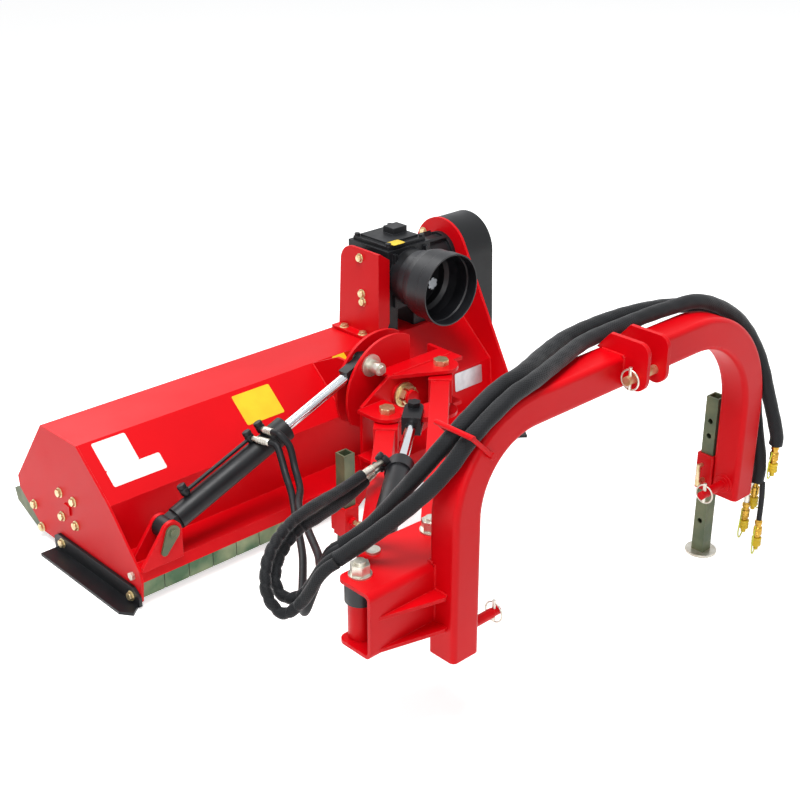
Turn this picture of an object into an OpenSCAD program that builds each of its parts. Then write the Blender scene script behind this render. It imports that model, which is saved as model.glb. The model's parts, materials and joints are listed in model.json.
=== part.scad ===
// Offset flail mower for a tractor's three-point linkage, with side shift and tilting head.
// X runs along the cutting head, +Y points away from the tractor and +Z is up.
// The origin lies on the ground under the middle of the machine.

/* [Hitch arch] */
// Outer width of the arch across both legs
arch_width = 1055; // [1000:1:1110]
// Side of the arch's square tube
arch_section = 75; // [70:1:78]
// Wall of the arch's tube
arch_wall = 6; // [4:0.5:8]
// Height of the arch's top above the ground
arch_height = 723; // [705:1:760]
// Ground clearance under the legs
leg_clearance = 188; // [150:1:195]
// Inside radius of the left bend
left_bend = 150; // [130:1:160]
// Inside radius of the right bend
right_bend = 219; // [190:1:235]

/* [Hitch points] */
// Diameter of the lower link pins
lower_pin_d = 22; // [20:0.5:28]
// Length of a lower link pin from the leg
lower_pin_reach = 95; // [85:1:110]
// Diameter of the top link pin
top_pin_d = 20; // [19:0.5:25]
// Clear gap between the top link plates
clevis_gap = 56; // [50:1:66]

/* [Side shift linkage] */
// Distance between the two pivots of an arm
arm_length = 870; // [850:1:890]
// Direction of the arms, measured from the X axis
arm_angle = 44; // [43:0.5:45]
// Width of an arm's tube
arm_w = 48; // [42:1:50]
// Diameter of the pivot bolts
pivot_d = 24; // [20:0.5:27]

/* [Cutting head] */
// Length of the head between the outer faces of its end plates
head_length = 1324; // [1290:1:1360]
// Thickness of the hood's sheet
hood_sheet = 5; // [3:0.5:6]
// Distance from the axis of the rotor to the tips of the flails
flail_reach = 120; // [112:1:126]
// Diameter of the rotor's tube
rotor_tube_d = 102; // [90:1:110]
// Stations of flails along the rotor
flail_stations = 14; // [8:1:16]
// Hanging flaps along the front edge
flap_count = 18; // [14:2:22]
// Width of a skid's runner
skid_w = 54; // [45:1:60]
// Diameter of the rear roller
roller_d = 110; // [96:1:112]

/* [Drive] */
// Diameter of the splined input shaft
pto_d = 35; // [30:1:36]
// Diameter of the guard's mouth
guard_d = 206; // [195:1:215]
// Depth of the belt cover
cover_depth = 108; // [98:1:125]
// Outer diameter of the upper belt pulley
upper_pulley_d = 156; // [140:1:164]
// Outer diameter of the lower belt pulley
lower_pulley_d = 122; // [110:1:130]

/* [Hydraulics] */
// Diameter of the cylinders' barrels
barrel_d = 58; // [50:1:60]
// Diameter of the piston rods
rod_d = 28; // [24:1:32]
// Diameter of a sleeve with two hoses along the arch
sleeve_d = 34; // [28:1:34]
// Diameter of a sleeved hose to the side shift cylinder
swing_hose_d = 26; // [20:1:28]
// Diameter of a hose to the tilt cylinder
tilt_hose_d = 18; // [15:1:20]

/* [Stands] */
// Side of the square tube of the stands
stand_side = 34; // [30:1:36]
// Diameter of the jack's round foot
foot_d = 78; // [60:1:90]

/* [Hidden] */
$fn = 48;

// Colours
red = "#c4161f";
black = "#1b1d20";
zinc = "#c8c5bc";
olive = "#4a5a45";
chrome = "#d6d9dd";
steel = "#8f9499";
brass = "#b9963f";
yellow = "#e2c11e";

// Running clearances: around a pin, and between faces that slide
fit = 0.06;
slip = 0.5;

// Outer edges of the machine, from which every place is measured
left_edge = -(skid_w + head_length + cover_depth) / 2;
head_l = left_edge + skid_w;
head_r = head_l + head_length;
arm_run = arm_length * [cos(arm_angle), sin(arm_angle)];
carrier_pivot_y = 35.353;
pivot_setback = 129;
clevis_reach = 60;
arch_f = carrier_pivot_y - arm_run[1] - pivot_setback;
front_edge = arch_f - clevis_reach;
arch_r = arch_f + arch_section;
arch_mid_y = (arch_f + arch_r) / 2;
arch_offset = 197;
leg_l = head_l + arch_offset;
leg_r = leg_l + arch_width;
beam_under = arch_height - arch_section;

// Top link plates
clevis_plate = 10;
clevis_mid = (leg_l + leg_r) / 2;
top_pin_y = arch_f - 30;
top_pin_z = beam_under + 36;
lower_pin_z = 228;

// Pivots of the side shift linkage: two on the frame and two on the carrier
frame_pivot_1 = [leg_l - 133, arch_f + pivot_setback];
frame_pivot_2 = frame_pivot_1 + [219, 27];
carrier_pivot_1 = frame_pivot_1 + arm_run;
carrier_pivot_2 = frame_pivot_2 + arm_run;
pivot_r = pivot_d / 2;
boss_r = pivot_r + 14;
bracket_z0 = 253;
bracket_z1 = 402;
bracket_t = 8;
web_y = arch_f + 56;
bracket_left = leg_l - 173;
spacer_z = 345;
plate_t = 10;
ear_r = 46;
ear_1_z0 = 198;
ear_1_z1 = 338;
ear_2_z0 = 258;
ear_2_z1 = 398;
left_arm_z = 262;
right_arm_z = 322;
arm_h = 58;
bolt_head_h = 15;

// Side shift cylinder, from its pin on the frame to the lug on the right arm
lug_setback = 225.4;
lug_side = 61.46;
swing_base = frame_pivot_2 + [-144, 20];
swing_eye = frame_pivot_2 + (arm_length - lug_setback) * [cos(arm_angle), sin(arm_angle)]
    + lug_side * [-sin(arm_angle), cos(arm_angle)];
swing_z = 356;
swing_run = swing_eye - swing_base;
swing_len = norm(swing_run);
swing_turn = atan2(swing_run[1], swing_run[0]);
swing_barrel_len = 460;
eye_r = 27;
eye_w = 34;
link_pin_r = 10;
eye_low = swing_z - eye_w / 2 - slip;
yoke_w = 48;
float_gap = 12.6;

// Tilt axis of the head and the cylinder that turns it
tilt_x = carrier_pivot_1[0] + 112;
tilt_z = 335;
tilt_pin_r = 20;
tilt_tube_r = 38;
tilt_tube_front = 92;
tilt_tube_back = 200;
carrier_y = 97;
quadrant_r = 150;
quadrant_y = [144, 186];
quadrant_t = 8;
tilt_plane = 169;
quadrant_pin = [tilt_x - 70, tilt_z + 87];
lug_pin = [head_l + 92, 180];
tilt_run = quadrant_pin - lug_pin;
tilt_len = norm(tilt_run);
tilt_turn = atan2(tilt_run[1], tilt_run[0]);
tilt_barrel_len = 398;
tilt_slot = 17;

// Profile of the head in Y and Z
hood_rear = [718, 142];
hood_top_back = [561, 344];
hood_fold = [394, 346];
slope_low = [264, 233];
panel_low = [252, 103];
shelf_front = [152, 103];
lip_low = [145, 74];
hood_line = [hood_rear, hood_top_back, hood_fold, slope_low, panel_low, shelf_front, lip_low];
end_outline = [hood_rear, hood_top_back, hood_fold, slope_low, shelf_front, lip_low, [152, 19], [606, 20],
    [715, 110]];
end_t = 6;
belt_plate_t = 8;
hood_x0 = head_l + end_t;
hood_x1 = head_r - belt_plate_t;

// Rotor, roller and front flaps
rotor_y = 466;
rotor_z = 144;
shaft_r = 17.5;
flail_hang = 14;
flail_pin_r = 6;
roller_y = 649;
roller_z = roller_d / 2 + 3;
roller_axle_r = 12;
flap_y = 182;
flap_z = 80;
flap_rod_r = 6;
flap_pitch = (hood_x1 - hood_x0 - 8) / flap_count;
flap_drop = 66;

// Gearbox and belt drive
pto_x = head_l + 1105;
drive_y = 478;
drive_z = 512;
guard_mouth = 222;
gear_front = 357;
gear_x0 = pto_x - 80;
gear_x1 = pto_x + 84;
plate_top_r = 105;
cover_wall = 2.5;
belt_x = head_r + 16;
belt_w = 10;
belt_pitch = 19;
belt_count = 3;
cross_r = 16;
belt_depth = 9;
belt_drop = 2;
pulley_w = belt_count * belt_pitch + 6;

// Places of the two stands
jack_x = leg_r - arch_section;
jack_y = arch_r;
stand_x = carrier_pivot_1[0] - 165;
stand_y = carrier_pivot_1[1] - 22;
stand_wall = 4;

// Plain drawing helpers: solids drawn along an axis and outlines set in a plane
module rod_between(a, b, r) {
    v = b - a;
    translate(a) rotate([0, acos(v[2] / norm(v)), atan2(v[1], v[0])]) cylinder(h = norm(v), r = r);
}

module rod_x(p, l, r) {
    translate(p) rotate([0, 90, 0]) cylinder(h = l, r = r);
}

module rod_y(p, l, r) {
    translate(p) rotate([-90, 0, 0]) cylinder(h = l, r = r);
}

module rod_z(p, l, r) {
    translate(p) cylinder(h = l, r = r);
}

module hex_x(p, l, across) {
    translate(p) rotate([0, 90, 0]) cylinder(h = l, d = across / cos(30), $fn = 6);
}

module hex_y(p, l, across) {
    translate(p) rotate([-90, 0, 0]) cylinder(h = l, d = across / cos(30), $fn = 6);
}

module hex_z(p, l, across) {
    translate(p) cylinder(h = l, d = across / cos(30), $fn = 6);
}

module in_yz(x, w) {
    translate([x, 0, 0]) rotate([90, 0, 90]) linear_extrude(w) children();
}

module in_xz(y, w) {
    translate([0, y + w, 0]) rotate([90, 0, 0]) linear_extrude(w) children();
}

module in_xy(z, h) {
    translate([0, 0, z]) linear_extrude(h) children();
}

// Sheet of thickness t on the left of a folded line
function unit(v) = v / norm(v);
function left_of(v) = [-v[1], v[0]];
function mitre(a, b) = (left_of(a) + left_of(b)) / (1 + a * b);
function run_of(pts) = [for (i = [0 : len(pts) - 2]) unit(pts[i + 1] - pts[i])];
function side_of(d, i) = i == 0 ? left_of(d[0]) : i == len(d) ? left_of(d[i - 1]) : mitre(d[i - 1], d[i]);
function sheet_line(pts, t) = let (d = run_of(pts))
    concat(pts, [for (i = [len(pts) - 1 : -1 : 0]) pts[i] + t * side_of(d, i)]);

// Smooth line through hand-set points, and the rings of a hose around it
function spline(a, b, c, d, t) = 0.5 * (2 * b + (c - a) * t + (2 * a - 5 * b + 4 * c - d) * t * t
    + (3 * b - a - 3 * c + d) * t * t * t);
function at(pts, i) = pts[max(0, min(len(pts) - 1, i))];
function smooth(pts, steps) = concat([for (i = [0 : len(pts) - 2], s = [0 : steps - 1])
    spline(at(pts, i - 1), pts[i], pts[i + 1], at(pts, i + 2), s / steps)], [pts[len(pts) - 1]]);
function end_of(pts) = pts[len(pts) - 1];
function heading(pts, i) = unit(at(pts, i + 1) - at(pts, i - 1));
function turned(u, d) = unit(u - (u * d) * d);
function first_side(d) = turned(abs(d[1]) > 0.9 ? [1, 0, 0] : [0, 1, 0], d);
function sides(d) = [for (i = 0, u = first_side(d[0]); i < len(d); i = i + 1, u = turned(u, at(d, i))) u];
hose_sides = 10;
function ring(p, d, u, r) = let (v = cross(d, u))
    [for (k = [0 : hose_sides - 1]) p + r * (cos(k * 360 / hose_sides) * u + sin(k * 360 / hose_sides) * v)];
function hose_faces(n) = concat([[for (k = [0 : hose_sides - 1]) k]],
    [for (i = [0 : n - 2], k = [0 : hose_sides - 1]) let (a = i * hose_sides + k,
        b = i * hose_sides + (k + 1) % hose_sides) [a, a + hose_sides, b + hose_sides, b]],
    [[for (k = [hose_sides - 1 : -1 : 0]) (n - 1) * hose_sides + k]]);

module hose(route, steps, d) {
    line = smooth(route, steps);
    way = [for (i = [0 : len(line) - 1]) heading(line, i)];
    side = sides(way);
    rings = [for (i = [0 : len(line) - 1]) each ring(line[i], way[i], side[i], d / 2)];
    polyhedron(points = rings, faces = hose_faces(len(line)), convexity = 6);
}

// Arch of bent square tube
module rounded(w, h, r) {
    translate([r, 0]) square([w - 2 * r, h]);
    translate([0, r]) square([w, h - 2 * r]);
    for (x = [r, w - r], y = [r, h - r])
        translate([x, y]) circle(r = r);
}

module tube_section() {
    inner = arch_section - 2 * arch_wall;
    difference() {
        rounded(arch_section, arch_section, 2 * arch_wall);
        translate([arch_wall, arch_wall]) square(inner);
    }
}

module straight_tube(l) {
    linear_extrude(l) tube_section();
}

module bend(r) {
    rotate_extrude(angle = 90, $fn = 96) translate([r, 0]) tube_section();
}

module hitch_arch() {
    left_c = leg_l + arch_section + left_bend;
    right_c = leg_r - arch_section - right_bend;
    color(red) {
        translate([leg_l, arch_f, leg_clearance]) straight_tube(beam_under - left_bend - leg_clearance);
        translate([leg_r - arch_section, arch_f, leg_clearance])
            straight_tube(beam_under - right_bend - leg_clearance);
        translate([left_c, arch_f, arch_height]) rotate([0, 90, 0]) straight_tube(right_c - left_c);
        translate([left_c, arch_r, beam_under - left_bend])
            mirror([1, 0, 0]) rotate([90, 0, 0]) bend(left_bend);
        translate([right_c, arch_r, beam_under - right_bend]) rotate([90, 0, 0]) bend(right_bend);
        translate([left_c, 0, beam_under - left_bend])
            rotate([0, -45, 0]) hose_guide(left_bend + arch_section);
    }
}

// Hoop of rod, welded to the arch, that keeps the hoses on the left bend
module hose_guide(r_out) {
    rod = 5;
    bar_r = 5.6;
    foot_r = 7;
    weld = 2;
    stand_off = 6.5;
    low = r_out - 30;
    high = r_out + sleeve_d + 18;
    front = arch_f - stand_off;
    back = arch_r + stand_off;
    foot_l = stand_off + weld + rod + 1;
    rod_y([0, arch_f + weld - foot_l, low], foot_l, foot_r);
    rod_y([0, arch_r - weld, low], foot_l, foot_r);
    rod_y([0, front - foot_r, high], back - front + 2 * foot_r, bar_r);
    for (y = [front, back])
        rod_z([0, y, low], high - low, rod);
}

// Folded bracket on the left leg that carries the linkage's frame pivots
module bracket_outline() {
    back = frame_pivot_1[1] + 27;
    round = 20;
    difference() {
        union() {
            translate([bracket_left, web_y - 1]) square([leg_l - bracket_left, back - web_y + 1 - round]);
            translate([bracket_left + round, web_y]) square([leg_l - bracket_left - round, back - web_y]);
            translate([bracket_left + round, back - round]) circle(r = round);
            polygon([[leg_l - 90, web_y], [leg_l, web_y], [leg_l, arch_r], [leg_l + 120, arch_r],
                [frame_pivot_2[0] + 44, frame_pivot_2[1]], [frame_pivot_2[0], frame_pivot_2[1] + 44],
                swing_base + [16, 28], swing_base + [-20, 25], [leg_l - 90, back]]);
            translate(frame_pivot_2) circle(r = 44);
            translate(swing_base) circle(r = 32);
        }
        translate(frame_pivot_1) circle(r = pivot_r + fit);
        translate(frame_pivot_2) circle(r = pivot_r + fit);
        translate(swing_base) circle(r = link_pin_r + fit);
    }
}

// Folded channel: its web faces the tractor and its flanges point to the rear
module channel_profile() {
    fold = 16;
    depth = 400;
    h = bracket_z1 - bracket_z0;
    translate([web_y, bracket_z0]) difference() {
        rounded(depth, h, fold);
        translate([bracket_t, bracket_t]) rounded(depth, h - 2 * bracket_t, fold - bracket_t);
    }
}

module pivot_bracket() {
    h = bracket_z1 - bracket_z0;
    gusset_tip = leg_l - 150;
    color(red) {
        intersection() {
            in_yz(bracket_left, leg_l - bracket_left) channel_profile();
            in_xy(bracket_z0, h) bracket_outline();
        }
        for (z = [bracket_z0, bracket_z1 - bracket_t])
            in_xy(z, bracket_t) intersection() {
                bracket_outline();
                translate([leg_l, arch_r]) square(400);
            }
        translate([leg_l, arch_r, bracket_z0]) cube([arch_section, bracket_t, h]);
        for (z = [bracket_z0 + 10, bracket_z0 + 84])
            in_xy(z, bracket_t)
                polygon([[gusset_tip, web_y], [leg_l, web_y], [leg_l, arch_f + 20],
                    [leg_l - 8, arch_f + 18]]);
    }
}

module frame_pivot_bolts() {
    color(zinc) {
        for (p = [frame_pivot_1, frame_pivot_2]) {
            rod_z([p[0], p[1], bracket_z0 - bolt_head_h], bracket_z1 - bracket_z0 + bolt_head_h + 32,
                pivot_r);
            hex_z([p[0], p[1], bracket_z0 - bolt_head_h], bolt_head_h, 36);
            rod_z([p[0], p[1], bracket_z1], 4, 24);
            hex_z([p[0], p[1], bracket_z1 + 4], 22, 36);
        }
        rod_z([swing_base[0], swing_base[1], eye_low - 8], bracket_z1 - eye_low + 14, link_pin_r);
        rod_z([swing_base[0], swing_base[1], eye_low - 8], 8, 17);
        rod_z([swing_base[0], swing_base[1], bracket_z1], 6, 16);
    }
}

// Polymer spacer above the left arm's frame boss, and the collar above the cylinder's eye
module pivot_spacers() {
    color(black) {
        spacer(frame_pivot_1, spacer_z, bracket_z1 - bracket_t, pivot_r, boss_r + 6);
        spacer(swing_base, swing_z + eye_w / 2 + slip, bracket_z1 - bracket_t, link_pin_r, 20);
    }
}

module spacer(p, z0, z1, r, outer) {
    translate([p[0], p[1], z0]) difference() {
        cylinder(h = z1 - z0, r = outer);
        translate([0, 0, -1]) cylinder(h = z1 - z0 + 2, r = r + fit);
    }
}

// Top link plates on the middle of the beam, with their pin
module clevis_plate_outline() {
    crest = arch_height + 40;
    corner = 24;
    difference() {
        union() {
            polygon([[arch_f, beam_under + 8], [arch_f - 22, beam_under + 12], [front_edge, top_pin_z],
                [front_edge, crest - corner], [front_edge + corner, crest],
                [arch_f + 40, crest], [arch_r, arch_height], [arch_f, arch_height]]);
            translate([front_edge + corner, crest - corner]) circle(r = corner);
            translate([top_pin_y, top_pin_z]) circle(r = top_pin_y - front_edge);
        }
        translate([top_pin_y, top_pin_z]) circle(d = top_pin_d + 2 * fit);
        translate([arch_f, beam_under]) square([arch_section, arch_section]);
    }
}

module top_link_clevis() {
    color(red) for (x = [clevis_mid - clevis_gap / 2 - clevis_plate, clevis_mid + clevis_gap / 2])
        in_yz(x, clevis_plate) clevis_plate_outline();
}

module top_link_pin() {
    half = clevis_gap / 2 + clevis_plate;
    color(zinc) difference() {
        union() {
            rod_x([clevis_mid - half - 28, top_pin_y, top_pin_z], 2 * half + 34, top_pin_d / 2);
            rod_x([clevis_mid + half, top_pin_y, top_pin_z], 6, top_pin_d / 2 + 8);
        }
        rod_z([clevis_mid - half - 16, top_pin_y, top_pin_z - 40], 80, 4 + fit);
    }
}

// Lower link pins on the inner faces of the legs, with reduced ends for the spring pins
module lower_pin(x, way) {
    tip = x + way * lower_pin_reach;
    difference() {
        union() {
            rod_x([min(x, tip), arch_mid_y, lower_pin_z], lower_pin_reach, lower_pin_d / 2 - 1);
            rod_x([min(x, tip - way * 20), arch_mid_y, lower_pin_z], lower_pin_reach - 20, lower_pin_d / 2);
            rod_x([way > 0 ? x : x - 10, arch_mid_y, lower_pin_z], 10, lower_pin_d / 2 + 10);
        }
        rod_z([tip - way * 14, arch_mid_y, lower_pin_z - 40], 80, 4 + fit);
    }
}

module lower_link_pins() {
    color(red) {
        lower_pin(leg_l + arch_section, 1);
        lower_pin(leg_r - arch_section, -1);
    }
}

// Spring pins with a ring that snaps round the end of each link pin
module linch_pin(p, r) {
    ring_r = r + 12;
    translate(p) {
        translate([0, 0, -ring_r]) cylinder(h = 2 * ring_r + 6, r = 4);
        rotate([0, 90, 0]) rotate_extrude() translate([ring_r, 0]) circle(r = 2, $fn = 16);
    }
}

module linch_pins() {
    color(zinc) {
        linch_pin([leg_l + arch_section + lower_pin_reach - 14, arch_mid_y, lower_pin_z], lower_pin_d / 2);
        linch_pin([leg_r - arch_section - lower_pin_reach + 14, arch_mid_y, lower_pin_z], lower_pin_d / 2);
        linch_pin([clevis_mid - clevis_gap / 2 - clevis_plate - 16, top_pin_y, top_pin_z], top_pin_d / 2);
    }
}

// Square tube stands in welded sleeves
module square_tube(side, wall, l) {
    linear_extrude(l) difference() {
        square(side);
        translate([wall, wall]) square(side - 2 * wall);
    }
}

jack_wall = 5;
jack_gap = 0.8;
jack_top = 438;
sleeve_low = 186;
sleeve_high = 284;
jack_hole_z = 214;
stand_pin_r = 7;

module jack_sleeve() {
    side = stand_side + 2 * jack_wall + 2 * jack_gap;
    color(red) difference() {
        translate([jack_x, jack_y, sleeve_low]) square_tube(side, jack_wall, sleeve_high - sleeve_low);
        rod_x([jack_x - 5, jack_y + side / 2, jack_hole_z], side + 10, stand_pin_r + fit);
    }
}

module jack_leg() {
    inset = jack_wall + jack_gap;
    mid = [jack_x + inset + stand_side / 2, jack_y + inset + stand_side / 2];
    color(olive) difference() {
        union() {
            translate([jack_x + inset, jack_y + inset, 6]) square_tube(stand_side, stand_wall, jack_top - 6);
            rod_z([mid[0], mid[1], 0], 6, foot_d / 2);
        }
        for (z = [jack_hole_z - 120, jack_hole_z, jack_hole_z + 120, jack_hole_z + 160])
            rod_x([jack_x, mid[1], z], 60, stand_pin_r + fit);
    }
}

module jack_pin() {
    side = stand_side + 2 * jack_wall + 2 * jack_gap;
    y = jack_y + side / 2;
    color(zinc) {
        rod_x([jack_x - 24, y, jack_hole_z], side + 34, stand_pin_r);
        rod_z([jack_x - 24, y, jack_hole_z - stand_pin_r], 58, 5);
        rod_x([jack_x - 24, y, jack_hole_z + 46], 14, 5);
    }
}

// Arms of the side shift linkage, equal and parallel, one above the other
module arm(a, b, z, boss_a, boss_b) {
    turn = atan2(b[1] - a[1], b[0] - a[0]);
    difference() {
        union() {
            rod_z([a[0], a[1], boss_a[0]], boss_a[1] - boss_a[0], boss_r);
            rod_z([b[0], b[1], boss_b[0]], boss_b[1] - boss_b[0], boss_r);
            translate([a[0], a[1], z]) rotate([0, 0, turn]) translate([0, -arm_w / 2, 0])
                cube([norm(b - a), arm_w, arm_h]);
            translate([b[0], b[1], z - 4]) rotate([0, 0, turn]) translate([-70, -arm_w / 2 - 7, 0])
                cube([76, arm_w + 14, arm_h + 8]);
        }
        rod_z([a[0], a[1], 0], 500, pivot_r + fit);
        rod_z([b[0], b[1], 0], 500, pivot_r + fit);
        translate([a[0], a[1], z + 6]) rotate([0, 0, turn]) translate([60, -arm_w / 2 + 6, 0])
            cube([norm(b - a) - 150, arm_w - 12, arm_h - 12]);
    }
}

module left_arm() {
    color(red) arm(frame_pivot_1, carrier_pivot_1, left_arm_z,
        [bracket_z0 + bracket_t + slip, spacer_z - slip],
        [ear_1_z0 + plate_t + slip, ear_1_z1 - plate_t - slip]);
}

// The lug that the side shift cylinder pulls on is slotted for float
module right_arm() {
    lug_t = 14;
    along = norm(swing_eye - frame_pivot_2);
    color(red) {
        arm(frame_pivot_2, carrier_pivot_2, right_arm_z,
            [bracket_z0 + bracket_t + slip, bracket_z1 - bracket_t - slip],
            [ear_2_z0 + plate_t + slip, ear_2_z1 - plate_t - slip]);
        in_xy(swing_z - lug_t / 2, lug_t) difference() {
            union() {
                translate(swing_eye) circle(r = 34);
                translate(frame_pivot_2) rotate(arm_angle) polygon([[along - 30, arm_w / 2 - 1],
                    [along + 60, arm_w / 2 - 1], [along + 22, 80], [along - 28, 80]]);
            }
            translate(swing_eye) circle(r = link_pin_r + float_gap);
        }
    }
}

// Carrier between the arms and the head: front plate, ears for the arms and the tilt tube
module ear(p, back, w) {
    difference() {
        union() {
            translate(p) circle(r = ear_r);
            translate([p[0] - ear_r, p[1]]) square([w, back - p[1]]);
        }
        translate(p) circle(r = pivot_r + fit);
    }
}

module carrier_frame() {
    x0 = carrier_pivot_1[0] - 29;
    x1 = carrier_pivot_2[0] + 80;
    color(red) {
        difference() {
            union() {
                in_xz(carrier_y, plate_t) polygon([[x0, ear_1_z0], [x0, ear_1_z1], [x0 + 98, ear_2_z1],
                    [x1, ear_2_z1], [x1, ear_2_z0], [x1 - 110, ear_1_z0]]);
                rod_y([tilt_x, tilt_tube_front, tilt_z], tilt_tube_back - tilt_tube_front, tilt_tube_r);
            }
            rod_y([tilt_x, 0, tilt_z], 400, tilt_pin_r + fit);
        }
        for (z = [ear_1_z0, ear_1_z1 - plate_t])
            in_xy(z, plate_t) ear(carrier_pivot_1, carrier_y, 2 * ear_r);
        in_xy(ear_2_z0, plate_t) ear(carrier_pivot_2, carrier_y, ear_r + 80);
        in_xy(ear_2_z1 - plate_t, plate_t) difference() {
            union() {
                ear(carrier_pivot_2, quadrant_y[0], ear_r + 80);
                polygon([[x0 + 98, carrier_y], [x0 + 98, quadrant_y[0]],
                    [carrier_pivot_2[0] - 30, quadrant_y[0]],
                    [carrier_pivot_2[0] - 30, carrier_pivot_2[1] - 34]]);
            }
            translate(carrier_pivot_2) circle(r = pivot_r + fit);
        }
        translate([x1 - 10, carrier_y, ear_2_z0]) cube([10, 90, ear_2_z1 - ear_2_z0]);
    }
}

module arm_pivot_bolts() {
    color(zinc) {
        carrier_bolt(carrier_pivot_1, ear_1_z0, ear_1_z1);
        carrier_bolt(carrier_pivot_2, ear_2_z0, ear_2_z1);
    }
}

module carrier_bolt(p, z0, z1) {
    rod_z([p[0], p[1], z0 - 26], z1 - z0 + 30, pivot_r);
    hex_z([p[0], p[1], z1], bolt_head_h, 36);
    rod_z([p[0], p[1], z0 - 4], 4, 22);
    hex_z([p[0], p[1], z0 - 22], 18, 36);
}

// Twin quadrant plates, with a slot for the tilt cylinder's pin
module quadrant_outline() {
    c = [tilt_x, tilt_z];
    out = unit(quadrant_pin - c);
    slot_r = link_pin_r + 7;
    difference() {
        polygon(concat([for (a = [62 : 4 : 206]) c + quadrant_r * [cos(a), sin(a)]],
            [c + [-58, -110], c + [30, -84], c + [74, -20]]));
        translate(c) circle(r = tilt_tube_r + fit);
        translate(quadrant_pin) circle(r = link_pin_r + 2);
        translate(quadrant_pin) rotate(atan2(out[1], out[0])) translate([0, -slot_r])
            square([tilt_slot - 4, 2 * slot_r]);
        translate(quadrant_pin + out * (tilt_slot - 4)) circle(r = slot_r);
    }
}

module quadrant_plates() {
    color(red) for (y = quadrant_y)
        in_xz(y, quadrant_t) quadrant_outline();
}

// Parking stand beside the carrier
stand_high = 272;
stand_sleeve_low = 40;
stand_sleeve_high = 124;
stand_hole_z = 84;
screw_r = 6;

module stand_sleeve() {
    side = stand_side + 2 * jack_wall + 2 * jack_gap;
    back = stand_y + side;
    hook = carrier_pivot_1[0] - 29;
    color(red) {
        difference() {
            union() {
                translate([stand_x, stand_y, stand_sleeve_low])
                    square_tube(side, jack_wall, stand_sleeve_high - stand_sleeve_low);
                hex_y([stand_x + side / 2, stand_y - 10, stand_hole_z], 10, 20);
            }
            rod_y([stand_x + side / 2, stand_y - 20, stand_hole_z], 20 + jack_wall + 0.1, screw_r + fit);
        }
        in_xz(back, plate_t) polygon([[stand_x, stand_sleeve_low + 10], [stand_x, stand_sleeve_high],
            [stand_x + side, stand_sleeve_high], [hook, ear_1_z0], [hook + 50, ear_1_z0],
            [hook + 50, ear_1_z0 - 30], [stand_x + side, stand_sleeve_low + 10]]);
        translate([hook, back, ear_1_z0 - 30]) cube([50, carrier_y - back + plate_t, 30]);
    }
}

module parking_stand() {
    inset = jack_wall + jack_gap;
    foot = stand_side + 28;
    color(olive) {
        translate([stand_x + inset, stand_y + inset, 6]) square_tube(stand_side, stand_wall, stand_high - 6);
        translate([stand_x + inset - 14, stand_y + inset - 14, 0]) cube([foot, foot, 6]);
    }
}

module stand_screw() {
    side = stand_side + 2 * jack_wall + 2 * jack_gap;
    x = stand_x + side / 2;
    tip = stand_y + jack_wall + jack_gap - 0.3;
    color(zinc) {
        rod_y([x, stand_y - 24, stand_hole_z], tip - stand_y + 24, screw_r);
        translate([x, stand_y - 33, stand_hole_z]) rotate([0, 90, 0]) rotate_extrude()
            translate([10, 0]) circle(r = 2.5, $fn = 16);
    }
}

// Hydraulic cylinder drawn along +X from the centre of its base eye
gland_l = 44;
neck_l = 36;
gland_r = barrel_d / 2 + 4;
seat_gap = 0.05;
crimp_gap = 1.4;

module barrel(l) {
    bore = barrel_d / 2 - 6;
    difference() {
        union() {
            translate([0, 0, -eye_w / 2]) cylinder(h = eye_w, r = eye_r);
            translate([0, -20, -eye_w / 2]) cube([neck_l + 2, 40, eye_w]);
            rod_x([neck_l, 0, 0], l - neck_l - gland_l + 6, barrel_d / 2);
            rod_x([l - gland_l, 0, 0], gland_l, gland_r);
        }
        translate([0, 0, -eye_w]) cylinder(h = 2 * eye_w, r = link_pin_r + fit);
        rod_x([neck_l + 6, 0, 0], l - neck_l - 36, bore);
        rod_x([neck_l + 6, 0, 0], l, rod_d / 2 + fit);
    }
}

// Piston rod with its piston, drawn in the same line, ending in a forked or plain eye
module piston_rod(start, reach) {
    rod_x([start, 0, 0], reach - start, rod_d / 2);
    rod_x([start, 0, 0], 30, barrel_d / 2 - 6.5);
}

module swing_frame() {
    translate([swing_base[0], swing_base[1], swing_z]) rotate([0, 0, swing_turn]) children();
}

module swing_barrel() {
    color(black) swing_frame() barrel(swing_barrel_len);
}

// Rod of the side shift cylinder, and its yoke over the arm's lug with its bolt
module swing_rod() {
    color(chrome) swing_frame() piston_rod(swing_barrel_len - 130, swing_len - 52);
}

module swing_yoke() {
    lug_gap = 17;
    root = 52;
    block = 68;
    color(black) swing_frame() {
        difference() {
            union() {
                translate([swing_len - block, -yoke_w / 2, -yoke_w / 2]) cube([block, yoke_w, yoke_w]);
                translate([swing_len, 0, -yoke_w / 2]) cylinder(h = yoke_w, r = yoke_w / 2);
            }
            translate([swing_len - root + 3, -50, -lug_gap / 2]) cube([100, 100, lug_gap]);
            rod_x([swing_len - block - 1, 0, 0], block - root + 1, rod_d / 2 + fit);
        }
        translate([swing_len, 0, -yoke_w / 2 - 10]) cylinder(h = yoke_w + 22, r = link_pin_r);
        hex_z([swing_len, 0, yoke_w / 2], 13, 30);
        hex_z([swing_len, 0, -yoke_w / 2 - 13], 13, 30);
    }
}

// Ports on the side shift cylinder, each with a banjo and a crimped tube to its hose
function swing_local(p) = let (v = p - [swing_base[0], swing_base[1], swing_z], d = unit(swing_run))
    [v[0] * d[0] + v[1] * d[1], v[1] * d[0] - v[0] * d[1], v[2]];

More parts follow.
